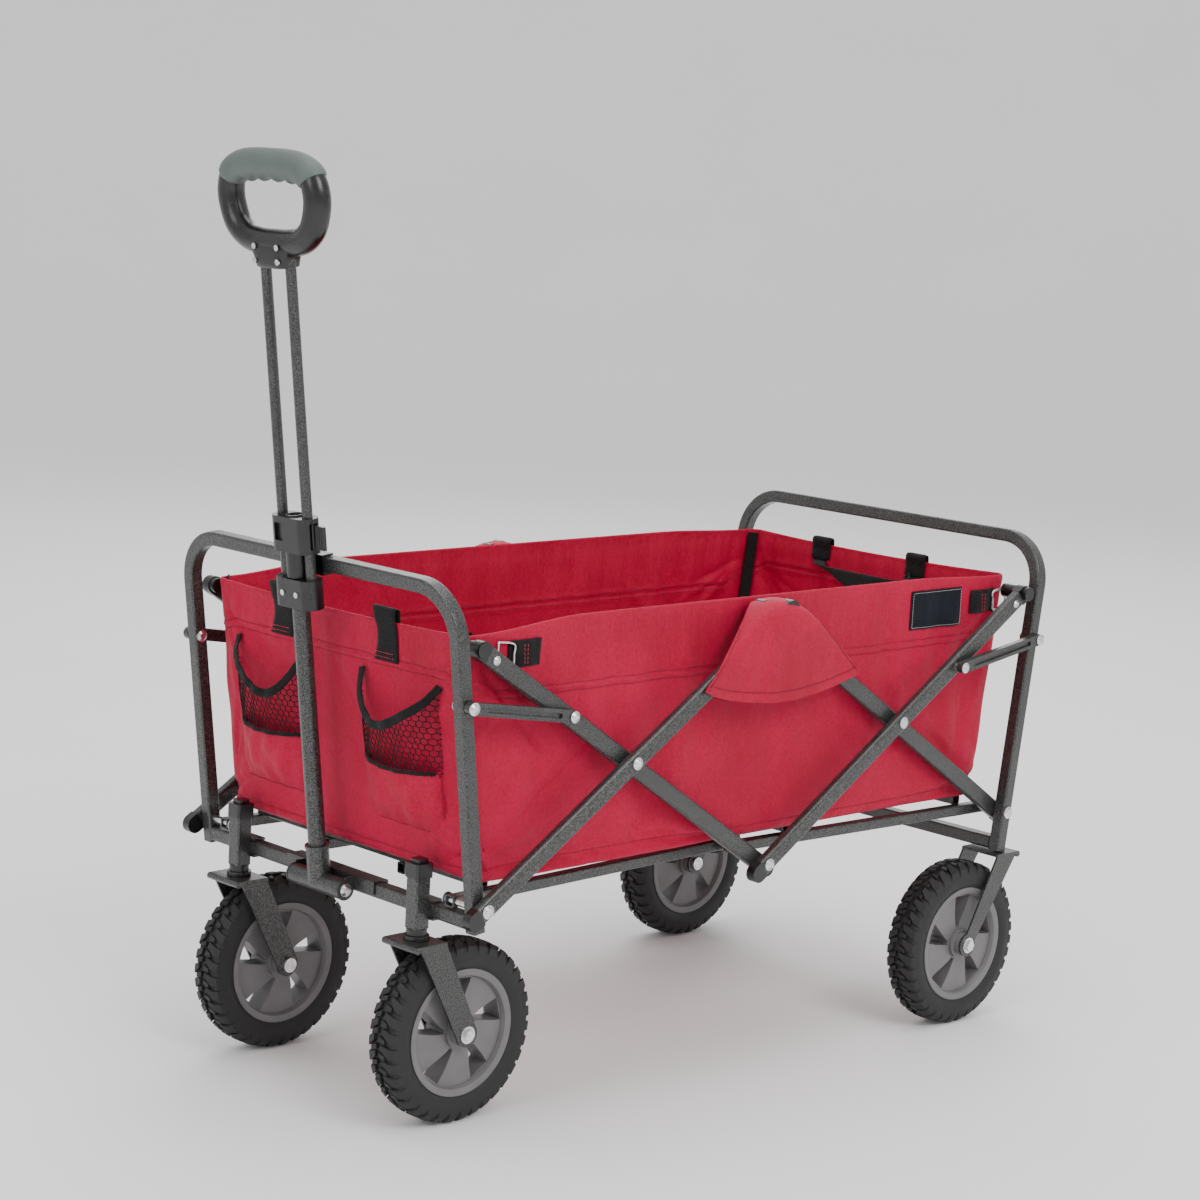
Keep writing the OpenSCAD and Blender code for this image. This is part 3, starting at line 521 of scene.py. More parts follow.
def creases(g):
    """Fine creases: long soft folds that fan out from the corners, and short random ones."""
    rng = random.Random(5)
    x, y, z = g[..., 0] - middle, g[..., 1], g[..., 2]
    d = np.zeros(x.shape)
    faces = {"side": (np.abs(y) > bag_half - 0.02, x), "end": (np.abs(y) <= bag_half - 0.02, y)}
    for face, (mask, u) in faces.items():
        for sign in (-1, 1):
            on = mask & ((y if face == "side" else x) * sign > 0)
            half = half_length if face == "side" else bag_half
            lines = []
            for end in (-1, 1):
                for _ in range(9):
                    lines.append((end * half * 0.99, hem_z - 0.035, -end * rng.uniform(0.15, 1.0),
                                  -rng.uniform(0.2, 1.0), rng.uniform(0.04, 0.16), rng.uniform(3, 9) * MM,
                                  rng.uniform(-3.2, 2.6) * MM))
                for _ in range(7):
                    lines.append((end * half * 0.99, bag_low + 0.01, -end * rng.uniform(0.2, 1.0),
                                  rng.uniform(0.2, 1.0), rng.uniform(0.04, 0.14), rng.uniform(3, 8) * MM,
                                  rng.uniform(-3.0, 2.6) * MM))
            for _ in range(26 if face == "side" else 12):
                lines.append((rng.uniform(-0.9, 0.9) * half, rng.uniform(bag_low + 0.03, hem_z - 0.03),
                              rng.uniform(-0.7, 0.7), rng.uniform(-1, -0.3), rng.uniform(0.02, 0.09),
                              rng.uniform(4, 12) * MM, rng.uniform(-2.6, 2.4) * MM))
            for u0, z0, du, dz, reach, width, depth in lines:
                size = math.hypot(du, dz)
                along = ((u - u0) * du + (z - z0) * dz) / size
                off = ((u - u0) * dz - (z - z0) * du) / size
                t = along / reach
                window = np.clip(1 - (t - 0.9) ** 2 / 0.9, 0, 1)
                spread = width * (0.5 + 0.5 * np.clip(t, 0, 2))
                d += on * depth * window * np.exp(-np.abs(off / spread) ** 1.6)
    return d


SEAM_SIDE, SEAM_FRONT, SEAM_REAR = 0.448, 0.466, 0.476


def seam_height(fx, fy):
    """Height of the double-stitched seam under the hem."""
    end = smooth01((np.abs(fx) - 0.93) / 0.07) * (1 - smooth01((np.abs(fy) - 0.9) / 0.1) * 0.3)
    return SEAM_SIDE + end * (np.where(fx > 0, SEAM_FRONT, SEAM_REAR) - SEAM_SIDE)


class Tub:
    """The hung tub as a smooth surface with seams and creases."""

    def __init__(self):
        rest = tub_rest()
        self.grid = hang(rest)
        self.rows, self.cols = self.grid.shape[:2]

    def surface(self, row_at, col_at):
        return resample(self.grid, row_at, col_at)

    def fine(self, per_row=3, per_col=2):
        """Dense grid with its normals and the columns' unit places."""
        ra = np.linspace(0, self.rows - 1, (self.rows - 1) * per_row + 1)
        ca = np.arange(self.cols * per_col) / per_col
        rr, cc = np.meshgrid(ra, ca, indexing="ij")
        g = self.surface(rr, cc)
        cols = np.stack([np.interp(ca, np.arange(self.cols + 1), np.append(columns[:, k], columns[0, k]))
                         for k in range(2)], -1)
        n = normals_of(g)
        z = g[..., 2]
        seam = seam_height(cols[:, 0], cols[:, 1])
        gap = z - seam
        dent = -0.9 * MM * (np.exp(-((gap - 0.004) / 0.0022) ** 2) + np.exp(-((gap + 0.004) / 0.0022) ** 2))
        puff = 0.8 * MM * np.exp(-(gap / 0.0025) ** 2)
        low = z - bag_low
        dent += -0.9 * MM * np.exp(-((low - 0.011) / 0.0022) ** 2) + 0.7 * MM * np.exp(-((low - 0.004) / 0.004) ** 2)
        pucker = 0.35 * MM * np.sin(cc * 2.4) * np.exp(-(gap / 0.016) ** 2)
        ease = smooth01(low / 0.02) * smooth01((hem_z - z) / 0.02)
        d = dent + puff + pucker + creases(g) * ease
        hem = 0.8 * MM * smooth01((z - hem_z + 0.02) / 0.014)
        g = g + n * (d + hem)[..., None]
        limit = bag_half + 7 * MM
        g[..., 1] = np.clip(g[..., 1], -limit, limit)
        return g, normals_of(g), cols


tub = Tub()
tub_grid, tub_normal, tub_unit = tub.fine()
tub_points, tub_facing = tub_grid.reshape(-1, 3), tub_normal.reshape(-1, 3)


NEIGHBOURS = 9                                        # tub points that near_tub weighs


def near_tub(x, y, z):
    """The tub's outer surface point and normal beside a place given from the wagon's middle."""
    p = np.array([middle + x, y, z])
    d = ((tub_points - p) ** 2).sum(-1)
    i = np.argpartition(d, NEIGHBOURS)[:NEIGHBOURS]
    w = 1 / (d[i] + 1e-5) ** 2
    w /= w.sum()
    n = (w[:, None] * tub_facing[i]).sum(0)
    n /= np.linalg.norm(n)
    return p + n * (w * ((tub_points[i] - p) @ n)).sum(), n


def fold_soft(piece):
    """Cloth and what is sewn to it ride on the front frame."""
    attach(piece, "front_frame")
    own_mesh(piece)
    return piece


def make_tub():
    """Outer cloth, rolled top hem, lining and bottom edge as one closed shell."""
    g, n = tub_grid, tub_normal
    inner = g - n * WALL_T
    top, top_n = g[-1], n[-1]
    roll = []
    for a in (35, 70, 105, 145):
        t = math.radians(a)
        rise = np.array([0, 0, 1.0]) * 2.6 * MM * math.sin(t)
        roll.append(top - top_n * (WALL_T + 0.4 * MM) * (1 - math.cos(t)) / 2 + rise)
    foot = g[0] - n[0] * WALL_T / 2 - np.array([0, 0, 1.0]) * 1.2 * MM
    shell = np.concatenate([g, np.array(roll), inner[::-1], foot[None]])
    rows, cols = shell.shape[:2]
    waist = g[g.shape[0] // 2]
    perimeter = np.concatenate([[0], np.cumsum(np.linalg.norm(np.diff(waist, axis=0), axis=1))])
    steps = np.linalg.norm(np.diff(shell, axis=0), axis=-1)
    height = np.concatenate([[np.zeros(cols)], np.cumsum(steps, axis=0)])
    uv = np.stack([np.broadcast_to(perimeter, (rows, cols)), height], -1)
    faces = grid_faces(rows, cols, wrap_rows=True, wrap_cols=True)
    piece = mesh_piece("bag_tub", shell.reshape(-1, 3), faces, red_cloth, uvs=uv.reshape(-1, 2))
    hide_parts("bag_front_wall", "bag_rear_wall", "bag_left_front", "bag_left_rear",
                "bag_right_front", "bag_right_rear")
    fold_soft(piece)


def line_at(height, lift=0.5 * MM, inside=False):
    """Closed line round the tub at a height that may vary by column, with its normals."""
    z = tub_grid[..., 2]
    pts, nrm = [], []
    for c in range(tub_grid.shape[1]):
        h = height[c]
        order = z[:, c]
        f = np.interp(h, order, np.arange(len(order)))
        i = min(int(f), len(order) - 2)
        t = f - i
        p = tub_grid[i, c] * (1 - t) + tub_grid[i + 1, c] * t
        m = tub_normal[i, c] * (1 - t) + tub_normal[i + 1, c] * t
        m = -m if inside else m
        pts.append(p + m * (lift + (WALL_T if inside else 0)))
        nrm.append(m)
    pts.append(pts[0])
    nrm.append(nrm[0])
    return np.array(pts), np.array(nrm)


def make_tub_stitches():
    b = Builder()
    seam = seam_height(tub_unit[:, 0], tub_unit[:, 1])
    for off in (4 * MM, -4 * MM):
        for inside in (False, True):
            stitch_row(b, *line_at(seam + off, lift=0.1 * MM, inside=inside))
    stitch_row(b, *line_at(np.full(len(seam), bag_low + 0.011), lift=0.1 * MM))
    fold_soft(b.piece("bag_seam_stitches", black_thread))


def on_tub(x, y, z, lift):
    """A place just off the tub's outer surface; a negative lift goes to its inside."""
    at, n = near_tub(x, y, z)
    return at + n * (lift if lift >= 0 else lift - WALL_T)


def plate_on_tub(name, outline_x, outline_z, side, mat, thick, lift=0.6 * MM, steps=16):
    """A thin sewn plate that follows the side wall."""
    xs, zs = np.linspace(*outline_x, steps), np.linspace(*outline_z, steps // 2)
    low = np.array([[on_tub(x, side * bag_half, z, lift) for x in xs] for z in zs])
    nrm = np.array([0, side, 0.0])
    edge = np.ones(low.shape[:2])
    edge[0] = edge[-1] = 0.45
    edge[:, 0] = edge[:, -1] = 0.45
    top = low + nrm * (thick * edge)[..., None]
    b = Builder()
    b.grid(top)
    b.grid(low[::-1])
    b.grid(np.stack([rim_of(low), rim_of(top)]), wrap_cols=True)
    uv = [(v[0], v[2]) for v in b.verts]
    fold_soft(mesh_piece(name, b.verts, b.faces, mat, uvs=uv))


def make_side_tabs():
    for side, word in ((1, "left"), (-1, "right")):
        for name, x0, x1, ring_x in (("front", 0.314, 0.357, 0.368), ("rear", -0.350, -0.392, -0.404)):
            z0, z1 = 0.475, 0.502
            plate_on_tub(f"{name}_{word}_corner_tab", (x0, x1), (z0, z1), side, webbing, 2.2 * MM)
            b = Builder()
            for x in (x0 + 0.45 * (x1 - x0), x0 + 0.55 * (x1 - x0)):
                line = np.array([on_tub(x, side * bag_half, z, 3.0 * MM)
                                 for z in np.linspace(z0 + 2 * MM, z1 - 2 * MM, 8)])
                stitch_row(b, line, np.tile([0, side, 0.0], (8, 1)))
            fold_soft(b.piece(f"{name}_{word}_tab_stitches", red_thread))
            ring = Builder()
            mid = on_tub((x1 + ring_x) / 2, side * bag_half, (z0 + z1) / 2, 3.0 * MM)
            reach = abs(ring_x - x1) / 2 + 5 * MM
            loop = [mid + np.array([reach * math.copysign(1, x1) * cx, side * 0.8 * MM, 13.5 * MM * cz])
                    for cx, cz in ((-1, -0.75), (0.75, -1), (1, -0.8), (1, 0), (1, 0.8),
                                   (0.75, 1), (-1, 0.75), (-1, 0), (-1, -0.75))]
            ring.tube(through(loop, 5), 1.3 * MM, sides=8)
            fold_soft(ring.piece(f"{name}_{word}_corner_ring", zinc))


def make_patch():
    x0, x1, z0, z1 = -0.332, -0.245, 0.464, 0.508
    plate_on_tub("side_patch", (x0, x1), (z0, z1), 1, dark_patch, 1.6 * MM, steps=24)
    b = Builder()
    m = 2.2 * MM
    for ends in (((x0 + m, z0 + m), (x1 - m, z0 + m)), ((x0 + m, z1 - m), (x1 - m, z1 - m)),
                 ((x0 + m, z0 + m), (x0 + m, z1 - m)), ((x1 - m, z0 + m), (x1 - m, z1 - m))):
        (xa, za), (xb, zb) = ends
        line = np.array([on_tub(xa + (xb - xa) * t, bag_half, za + (zb - za) * t, 2.4 * MM)
                         for t in np.linspace(0, 1, 14)])
        stitch_row(b, line, np.tile([0, 1.0, 0], (14, 1)), pitch=3.2 * MM, length=2.3 * MM)
    fold_soft(b.piece("patch_stitches", moulded("grey_thread", grey(0.25), grey(0.35), 0.5, 0.7)))


def over_hem(y, x_sign, low_out, low_in):
    """Points from the outside of an end wall over its hem to the inside."""
    pts = [on_tub(x_sign * end_x(z), y, z, 1.6 * MM) for z in np.linspace(low_out, hem_z - 0.008, 6)]
    top = on_tub(x_sign * end_x(hem_z), y, hem_z - 0.002, 0.4 * MM)
    inward = np.array([-x_sign, 0, 0.0])
    pts += [top + np.array([0, 0, 4.2 * MM]), top + inward * 3.0 * MM + np.array([0, 0, 6.4 * MM]),
            top + inward * 6.4 * MM + np.array([0, 0, 3.0 * MM])]
    pts += [on_tub(x_sign * end_x(z), y, z, -1.8 * MM) for z in np.linspace(hem_z - 0.010, low_in, 5)]
    return pts


def make_front_straps():
    for y, word in ((0.085, "left"), (-0.085, "right")):
        pts = over_hem(y, 1, 0.467, 0.486)
        n = len(pts)
        sway = [0.0035 * math.sin(2.6 * i / (n - 1) * math.pi) for i in range(n)]
        pts = [p + np.array([0, q, 0]) for p, q in zip(pts, sway)]
        width = [0.038 - 0.007 * math.sin(math.pi * min(1, i / 7)) for i in range(n)]
        fold_soft(strap(f"front_strap_{word}", pts, (0, 1, 0), width, webbing))
        b = Builder()
        for z in (0.471, 0.476):
            line = np.array([on_tub(end_x(z), y + d, z, 2.9 * MM) for d in np.linspace(-0.0165, 0.0165, 9)])
            stitch_row(b, line, np.tile([1.0, 0, 0], (9, 1)))
        fold_soft(b.piece(f"front_strap_{word}_stitches", red_thread))


def make_rear_loop():
    a, c = over_hem(-0.083, -1, 0.486, 0.492), over_hem(0.068, -1, 0.486, 0.492)
    inner = -end_x(0.49) + 0.011
    hang_pts = [np.array([middle + inner + dx, y, z]) for dx, y, z in (
        (0.006, -0.070, 0.489), (0.012, -0.045, 0.4845), (0.016, -0.015, 0.481), (0.016, 0.015, 0.4805),
        (0.012, 0.038, 0.4835), (0.006, 0.056, 0.4885))]
    pts = a + hang_pts + c[::-1]
    n = len(pts)
    across = []
    for i in range(n):
        t = (i - len(a) + 1) / (len(hang_pts) + 1)
        if t <= 0 or t >= 1:
            across.append((0, 1.0, 0))
        else:
            spin = math.pi * smooth01(t)
            level = math.cos(spin) if abs(math.cos(spin)) > 0.05 else 0.05
            across.append((0.35 * math.sin(spin), level, -0.93 * math.sin(spin)))
    width = [0.030 if i < len(a) - 1 or i > n - len(c) else 0.021 for i in range(n)]
    fold_soft(strap("rear_carry_loop", pts, across, width, webbing))
    b = Builder()
    for y in (-0.083, 0.068):
        for z in (0.490, 0.495):
            line = np.array([on_tub(-end_x(z), y + d, z, 2.9 * MM) for d in np.linspace(-0.013, 0.013, 7)])
            stitch_row(b, line, np.tile([-1.0, 0, 0], (7, 1)))
    fold_soft(b.piece("rear_loop_stitches", red_thread))


def make_corner_binding():
    """Black tape sewn down the four corners inside the tub."""
    for fx, wx in ((1, "front"), (-1, "rear")):
        for fy, wy in ((1, "left"), (-1, "right")):
            pts = []
            for z in np.linspace(hem_z - 0.004, bag_low + 0.02, 14):
                corner = np.array([fx * (end_x(z) - 0.0105), fy * (bag_half - 0.0105), z])
                pts.append(corner + np.array([middle, 0, 0]))
            across = np.array([1.0 * fy, -1.0 * fx, 0]) if fx * fy > 0 else np.array([1.0, 1.0, 0])
            tape = strap(f"{wx}_{wy}_corner_tape", pts, across, 0.013, webbing, thick=1.4 * MM, steps=3)
            fold_soft(tape)


# ---- flaps over the middle top pivots ----
def make_flaps():
    """Flaps from the hem down over the braces' top pivots: a middle line and a border line, as places in Y and Z."""
    centre = through(np.array([(0, 205.5, 506), (0, 206.2, 514), (0, 213, 520.5), (0, 226, 521.5), (0, 238, 517),
                               (0, 244.5, 508), (0, 247, 490), (0, 246.2, 462), (0, 244.5, 436),
                               (0, 244.5, 414)], float), 4) * MM
    border = through(np.array([(0, 205.5, 506), (0, 206.5, 513), (0, 211, 517), (0, 218, 511), (0, 225, 501),
                               (0, 231, 489), (0, 236, 476), (0, 240.5, 463), (0, 243.5, 449),
                               (0, 245, 436)], float), 4) * MM
    rows, cols = len(centre), 45
    bare_rows = 19                                        # rows at the top without edge stitches
    u = np.linspace(-1, 1, cols)
    reach = np.interp(np.linspace(0, 1, rows), (0, 0.2, 0.4, 0.6, 0.8, 1),
                      (0.012, 0.019, 0.043, 0.069, 0.095, 0.121))
    wx = np.sin(np.radians(58) * u) / math.sin(math.radians(58))
    v = np.linspace(0, 1, rows)[:, None]
    x = reach[:, None] * wx[None]
    bend = 4 - 1.8 * np.clip(1 - v * 1.6, 0, 1)
    y = centre[:, 1][:, None] + (border[:, 1] - centre[:, 1])[:, None] * np.abs(u)[None] ** bend
    z = centre[:, 2][:, None] + (border[:, 2] - centre[:, 2])[:, None] * np.abs(u)[None] ** 1.8
    rng = random.Random(3)
    waves = [(rng.uniform(3, 9), rng.uniform(0, 6.3), rng.uniform(0.2, 0.7) * MM) for _ in range(5)]
    fold = sum(a * np.sin(f * u[None] * 3.1 + ph + 1.3 * v) for f, ph, a in waves)
    y = y + fold * smooth01((v - 0.45) / 0.4) + 1.6 * MM * np.cos(u * 5.5)[None] * smooth01((v - 0.55) / 0.45)
    hem = 0.5 * MM * (np.exp(-((v - 0.985) / 0.012) ** 2) - 1.2 * np.exp(-((v - 0.94) / 0.012) ** 2))
    y = y + hem
    for side, word in ((1, "left"), (-1, "right")):
        outer = np.stack([middle + x, side * y, z], -1)
        inner = np.stack([middle + x * 0.995, side * (y - 1.5 * MM), z - 0.2 * MM], -1)
        b = Builder()
        b.grid(outer if side > 0 else outer[:, ::-1])
        b.grid(inner[:, ::-1] if side > 0 else inner)
        rims = [rim_of(outer), rim_of(inner)][::side]
        b.grid(np.stack(rims), wrap_cols=True)
        uv = [(p[0], p[2]) for p in b.verts]
        piece = mesh_piece(f"pivot_flap_{word}", b.verts, b.faces, red_cloth, uvs=uv)
        fold_soft(piece)
        st = Builder()
        row = int(rows * 0.93)
        n = np.tile([0, side * 1.0, 0], (cols, 1))
        stitch_row(st, outer[row] + n * 0.3 * MM, n)
        for c in (1, cols - 2):
            m = np.tile([0, side * 1.0, 0], (rows - bare_rows, 1))
            stitch_row(st, outer[bare_rows:, c] + m * 0.3 * MM, m)
        fold_soft(st.piece(f"pivot_flap_{word}_stitches", black_thread))
    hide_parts("side_flaps")


# ---- pockets on the front wall ----
def make_pockets():
    first = None
    for y0, y1, word in ((0.047, 0.168, "left"), (-0.160, -0.045, "right")):
        low, split, corner, sag = 0.300, 0.369, 0.455, 0.047
        cols = 49
        u = np.linspace(0, 1, cols)
        lean_in = 1 if word == "right" else -1
        rim_z = corner - sag * np.clip(4 * u * (1 - u), 0, 1) ** 0.7 + 0.006 * np.sin(2 * math.pi * u) * lean_in

        def surface(uu, zz):
            """Pocket cloth at a fraction across and a height."""
            a = (np.clip(4 * uu * (1 - uu), 0, 1)) ** 0.62
            belly = np.interp(zz, (low, low + 0.006, 0.325, 0.35, split, 0.40, 0.46),
                              (0.001, 0.008, 0.021, 0.025, 0.023, 0.027, 0.031))
            pouch_share = np.sin(math.pi * np.clip((zz - low) / (split - low), 0, 1))
            crumple = (1.6 * MM * np.sin(19 * uu + 40 * (zz - low)) * pouch_share
                       + 1.0 * MM * np.sin(31 * uu - 90 * (zz - low) + 1.2))
            yy = y0 + (y1 - y0) * (uu + 0.02 * np.sin(2 * math.pi * uu) * (zz - split) / 0.08)
            wall_x = np.vectorize(end_x)(zz) + 0.0035
            return np.stack([middle + wall_x + belly * a + crumple * a, yy, zz], -1)

        rows = 26
        vz = low + (split - low) * np.linspace(0, 1, rows)[:, None] * np.ones(cols)
        pouch = surface(np.broadcast_to(u, vz.shape), vz)
        dip = 0.004 * np.sin(math.pi * u)
        pouch[..., 2] -= (np.linspace(0, 1, rows)[:, None] * dip)
        back = pouch - np.array([1.4 * MM, 0, 0])
        b = Builder()
        b.grid(pouch)
        b.grid(back[::-1])
        b.grid(np.stack([rim_of(pouch), rim_of(back)]), wrap_cols=True)
        uv = [(q[1], q[2]) for q in b.verts]
        piece = fold_soft(mesh_piece(f"pocket_{word}_pouch", b.verts, b.faces, red_cloth, uvs=uv))
        first = first or piece
        # net: a honeycomb of thin cords between the pouch and the rim
        cell = 6.4 * MM
        net = Builder()
        du, dz = cell / (y1 - y0), cell * 0.9

        def rim_at(uu):
            return float(np.interp(uu, u, rim_z))

        def place(uu, zz):
            return surface(np.array([np.clip(uu, 0.004, 0.996)]), np.array([min(zz, rim_at(uu))]))[0]

        count_u, count_z = int(1 / du) + 2, int((corner - split) / dz) + 3
        for i in range(-1, count_u):
            for j in range(-1, count_z):
                cu, cz = (i + 0.5 * (j % 2)) * du, split - 0.004 + j * dz
                pts = [(cu - du / 2, cz + dz * 0.22), (cu, cz + dz * 0.5), (cu + du / 2, cz + dz * 0.22),
                       (cu + du / 2, cz - dz * 0.45)]
                for (ua, za), (ub, zb) in zip(pts, pts[1:]):
                    mu, mz = (ua + ub) / 2, (za + zb) / 2
                    if 0 < mu < 1 and split - 0.007 < mz < rim_at(mu):
                        pa, pb = place(ua, za), place(ub, zb)
                        if np.linalg.norm(pa - pb) > 0.6 * MM:
                            net.tube([pa, pb], 0.55 * MM, sides=4)
        fold_soft(net.piece(f"pocket_{word}_net", net_cord))
        line = surface(u, rim_z)
        side = np.gradient(line, axis=0)
        side /= np.linalg.norm(side, axis=1)[:, None]
        across = np.cross(side, np.array([1.0, 0, 0]))
        rim = strap(f"pocket_{word}_rim", line[::3] + np.array([1.2 * MM, 0, 0]), across[::3], 0.0095, webbing,
                    thick=2.0 * MM, steps=3)
        fold_soft(rim)
        hem_u = u[1:-1:3]
        hem = surface(hem_u, np.full(len(hem_u), split - 0.002))
        hem = hem - np.array([0, 0, 1.0]) * 0.004 * np.sin(math.pi * hem_u)[:, None] + np.array([0.9 * MM, 0, 0])
        edge = strap(f"pocket_{word}_net_hem", hem, (0, 0.05, 1.0), 0.004, webbing, thick=1.2 * MM, steps=3)
        fold_soft(edge)
        st = Builder()
        for uu in (0.012, 0.988):
            zz = np.linspace(low + 0.004, corner - 0.004, 30)
            at = surface(np.full(30, uu), zz) + np.array([0.4 * MM, 0, 0])
            stitch_row(st, at, np.tile([1.0, 0, 0], (30, 1)))
        at = surface(u, np.full(cols, low + 0.003)) + np.array([0.6 * MM, 0, 0])
        stitch_row(st, at, np.tile([1.0, 0, 0.2], (cols, 1)))
        fold_soft(st.piece(f"pocket_{word}_stitches", black_thread))
    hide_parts("cup_pockets")


# ---- padded floor mat ----
def make_mats():
    for node, body in (("floor_front", "front_floor"), ("floor_rear", "rear_floor")):
        lo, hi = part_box(node)
        rows, cols = 61, 49
        gx, gy = np.meshgrid(np.linspace(0, 1, rows), np.linspace(0, 1, cols), indexing="ij")
        x = lo.x + (hi.x - lo.x) * gx
        y = lo.y + 0.002 + (hi.y - lo.y - 0.004) * gy
        long, wide = hi.x - lo.x, hi.y - lo.y
        edge = np.minimum(np.minimum(gx, 1 - gx) * long, np.minimum(gy, 1 - gy) * wide)
        crown = np.sqrt(np.clip(1 - (1 - np.clip(edge / 0.012, 0, 1)) ** 2, 0, 1))
        seam = np.exp(-((gx - 0.5) * long / 0.0035) ** 2) + np.exp(-((gy - 0.5) * wide / 0.0035) ** 2)
        puff = (0.0022 * np.sin(math.pi * np.clip((gx * 2) % 1, 0, 1)) ** 0.7
                * np.sin(math.pi * np.clip((gy * 2) % 1, 0, 1)) ** 0.7)
        ripple = 0.0006 * np.sin(gx * 37 + 3 * gy) * np.sin(gy * 29 - 2 * gx)
        top = np.stack([x, y, lo.z + 0.001 + (0.0068 * crown + puff + ripple * crown - 0.0028 * seam * crown)], -1)
        low = np.stack([x, y, np.full_like(x, lo.z + 0.0002) + 0.0008 * (1 - crown)], -1)
        b = Builder()
        b.grid(top)
        b.grid(low[::-1])
        b.grid(np.stack([rim_of(low), rim_of(top)]), wrap_cols=True)
        piece = mesh_piece(f"{node}_mat", b.verts, b.faces, red_cloth, uvs=[(q[0], q[1]) for q in b.verts])
        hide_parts(node)
        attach(piece, body)
        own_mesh(piece)


# ---- tyres with their tread ----
def make_tyres():
    """Tyre bodies turned from half a profile in millimetres, with shoulder lugs and small centre blocks on them."""
    half = [(0, 91.2), (9, 91.1), (14, 90.2), (17.4, 87.6), (19.2, 82.5), (19.9, 78), (19.6, 73.5), (18.4, 69.5),
            (17.2, 67.2), (17, 66.02)]
    profile = [(-y * MM, r * MM, 0) for y, r in half[::-1]] + [(y * MM, r * MM, 0) for y, r in half[1:]]
    smooth = through(profile, 3)[:, :2]
    outline = [tuple(q) for q in smooth] + [(0.010, 0.0665), (-0.010, 0.0665)]
    carcass_y, carcass_r = zip(*[(y * MM, r * MM) for y, r in half[:7]])

    def crown_r(y):
        return np.interp(abs(y), carcass_y, carcass_r)

    def tread_r(y):
        return np.interp(abs(y), (0, 0.011, 0.015, 0.018, 0.0203), (0.095, 0.0948, 0.0936, 0.0906, 0.0850))

    lugs = []
    count = 36
    step = 2 * math.pi / count
    for i in range(count):
        for sy in (-1, 1):
            base = (i + (0.5 if sy > 0 else 0)) * step
            w = 0.37 * step
            long_one = 0.0035 if i % 2 else 0.0060
            # shoulder lug: from the outer edge in towards the middle, swept
            lugs.append([(sy * 0.0194, base - w), (sy * 0.0194, base + w * 0.9),
                         (sy * 0.0145, base + w * 0.95 + 0.05 * step), (sy * long_one, base + w * 0.75 + 0.34 * step),
                         (sy * long_one, base - w * 0.35 + 0.34 * step), (sy * 0.0145, base - w * 0.8 + 0.05 * step)])
            # small centre block between the lugs
            lugs.append([(sy * 0.0100, base + 0.60 * step), (sy * 0.0100, base + 0.92 * step),
                         (sy * 0.0015, base + 1.06 * step), (sy * 0.0015, base + 0.72 * step)])
    for wheel in ("front_left", "front_right", "rear_left", "rear_right"):
        lo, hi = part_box(f"{wheel}_tyre")
        centre = (lo + hi) / 2
        b = Builder()
        b.lathe(outline, centre, 108)
        for ring in lugs:
            ring = np.array(ring)
            mid = ring.mean(0)
            n = len(ring)
            bottom, shoulder, top = [], [], []
            for yv, t in ring:
                for out, shrink, r in ((bottom, 1.0, crown_r(yv) - 0.8 * MM),
                                       (shoulder, 0.97, tread_r(yv) - 0.5 * MM),
                                       (top, 0.86, tread_r(mid[0] + (yv - mid[0]) * 0.86))):
                    yy, tt = mid + (np.array([yv, t]) - mid) * shrink
                    out.append((centre[0] + r * math.cos(tt), centre[1] + yy, centre[2] + r * math.sin(tt)))
            start = len(b.verts)
            b.verts += bottom + shoulder + top
            b.faces += grid_faces(3, n, wrap_cols=True, start=start)
            b.faces.append(tuple(range(start + 2 * n, start + 3 * n)))
        piece = b.piece(f"{wheel}_tread_tyre", tyre)
        fix_normals(piece)
        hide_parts(f"{wheel}_tyre")
        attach(piece, f"{wheel}_wheel")


def fix_normals(piece, angle=0.6):
    """Faces outwards, with sharp edges where faces meet at more than the angle."""
    bm = bmesh.new()
    bm.from_mesh(piece.data)
    bmesh.ops.recalc_face_normals(bm, faces=bm.faces)
    for e in bm.edges:
        if len(e.link_faces) == 2 and e.calc_face_angle(0) > angle:
            e.smooth = False
    bm.to_mesh(piece.data)
    bm.free()


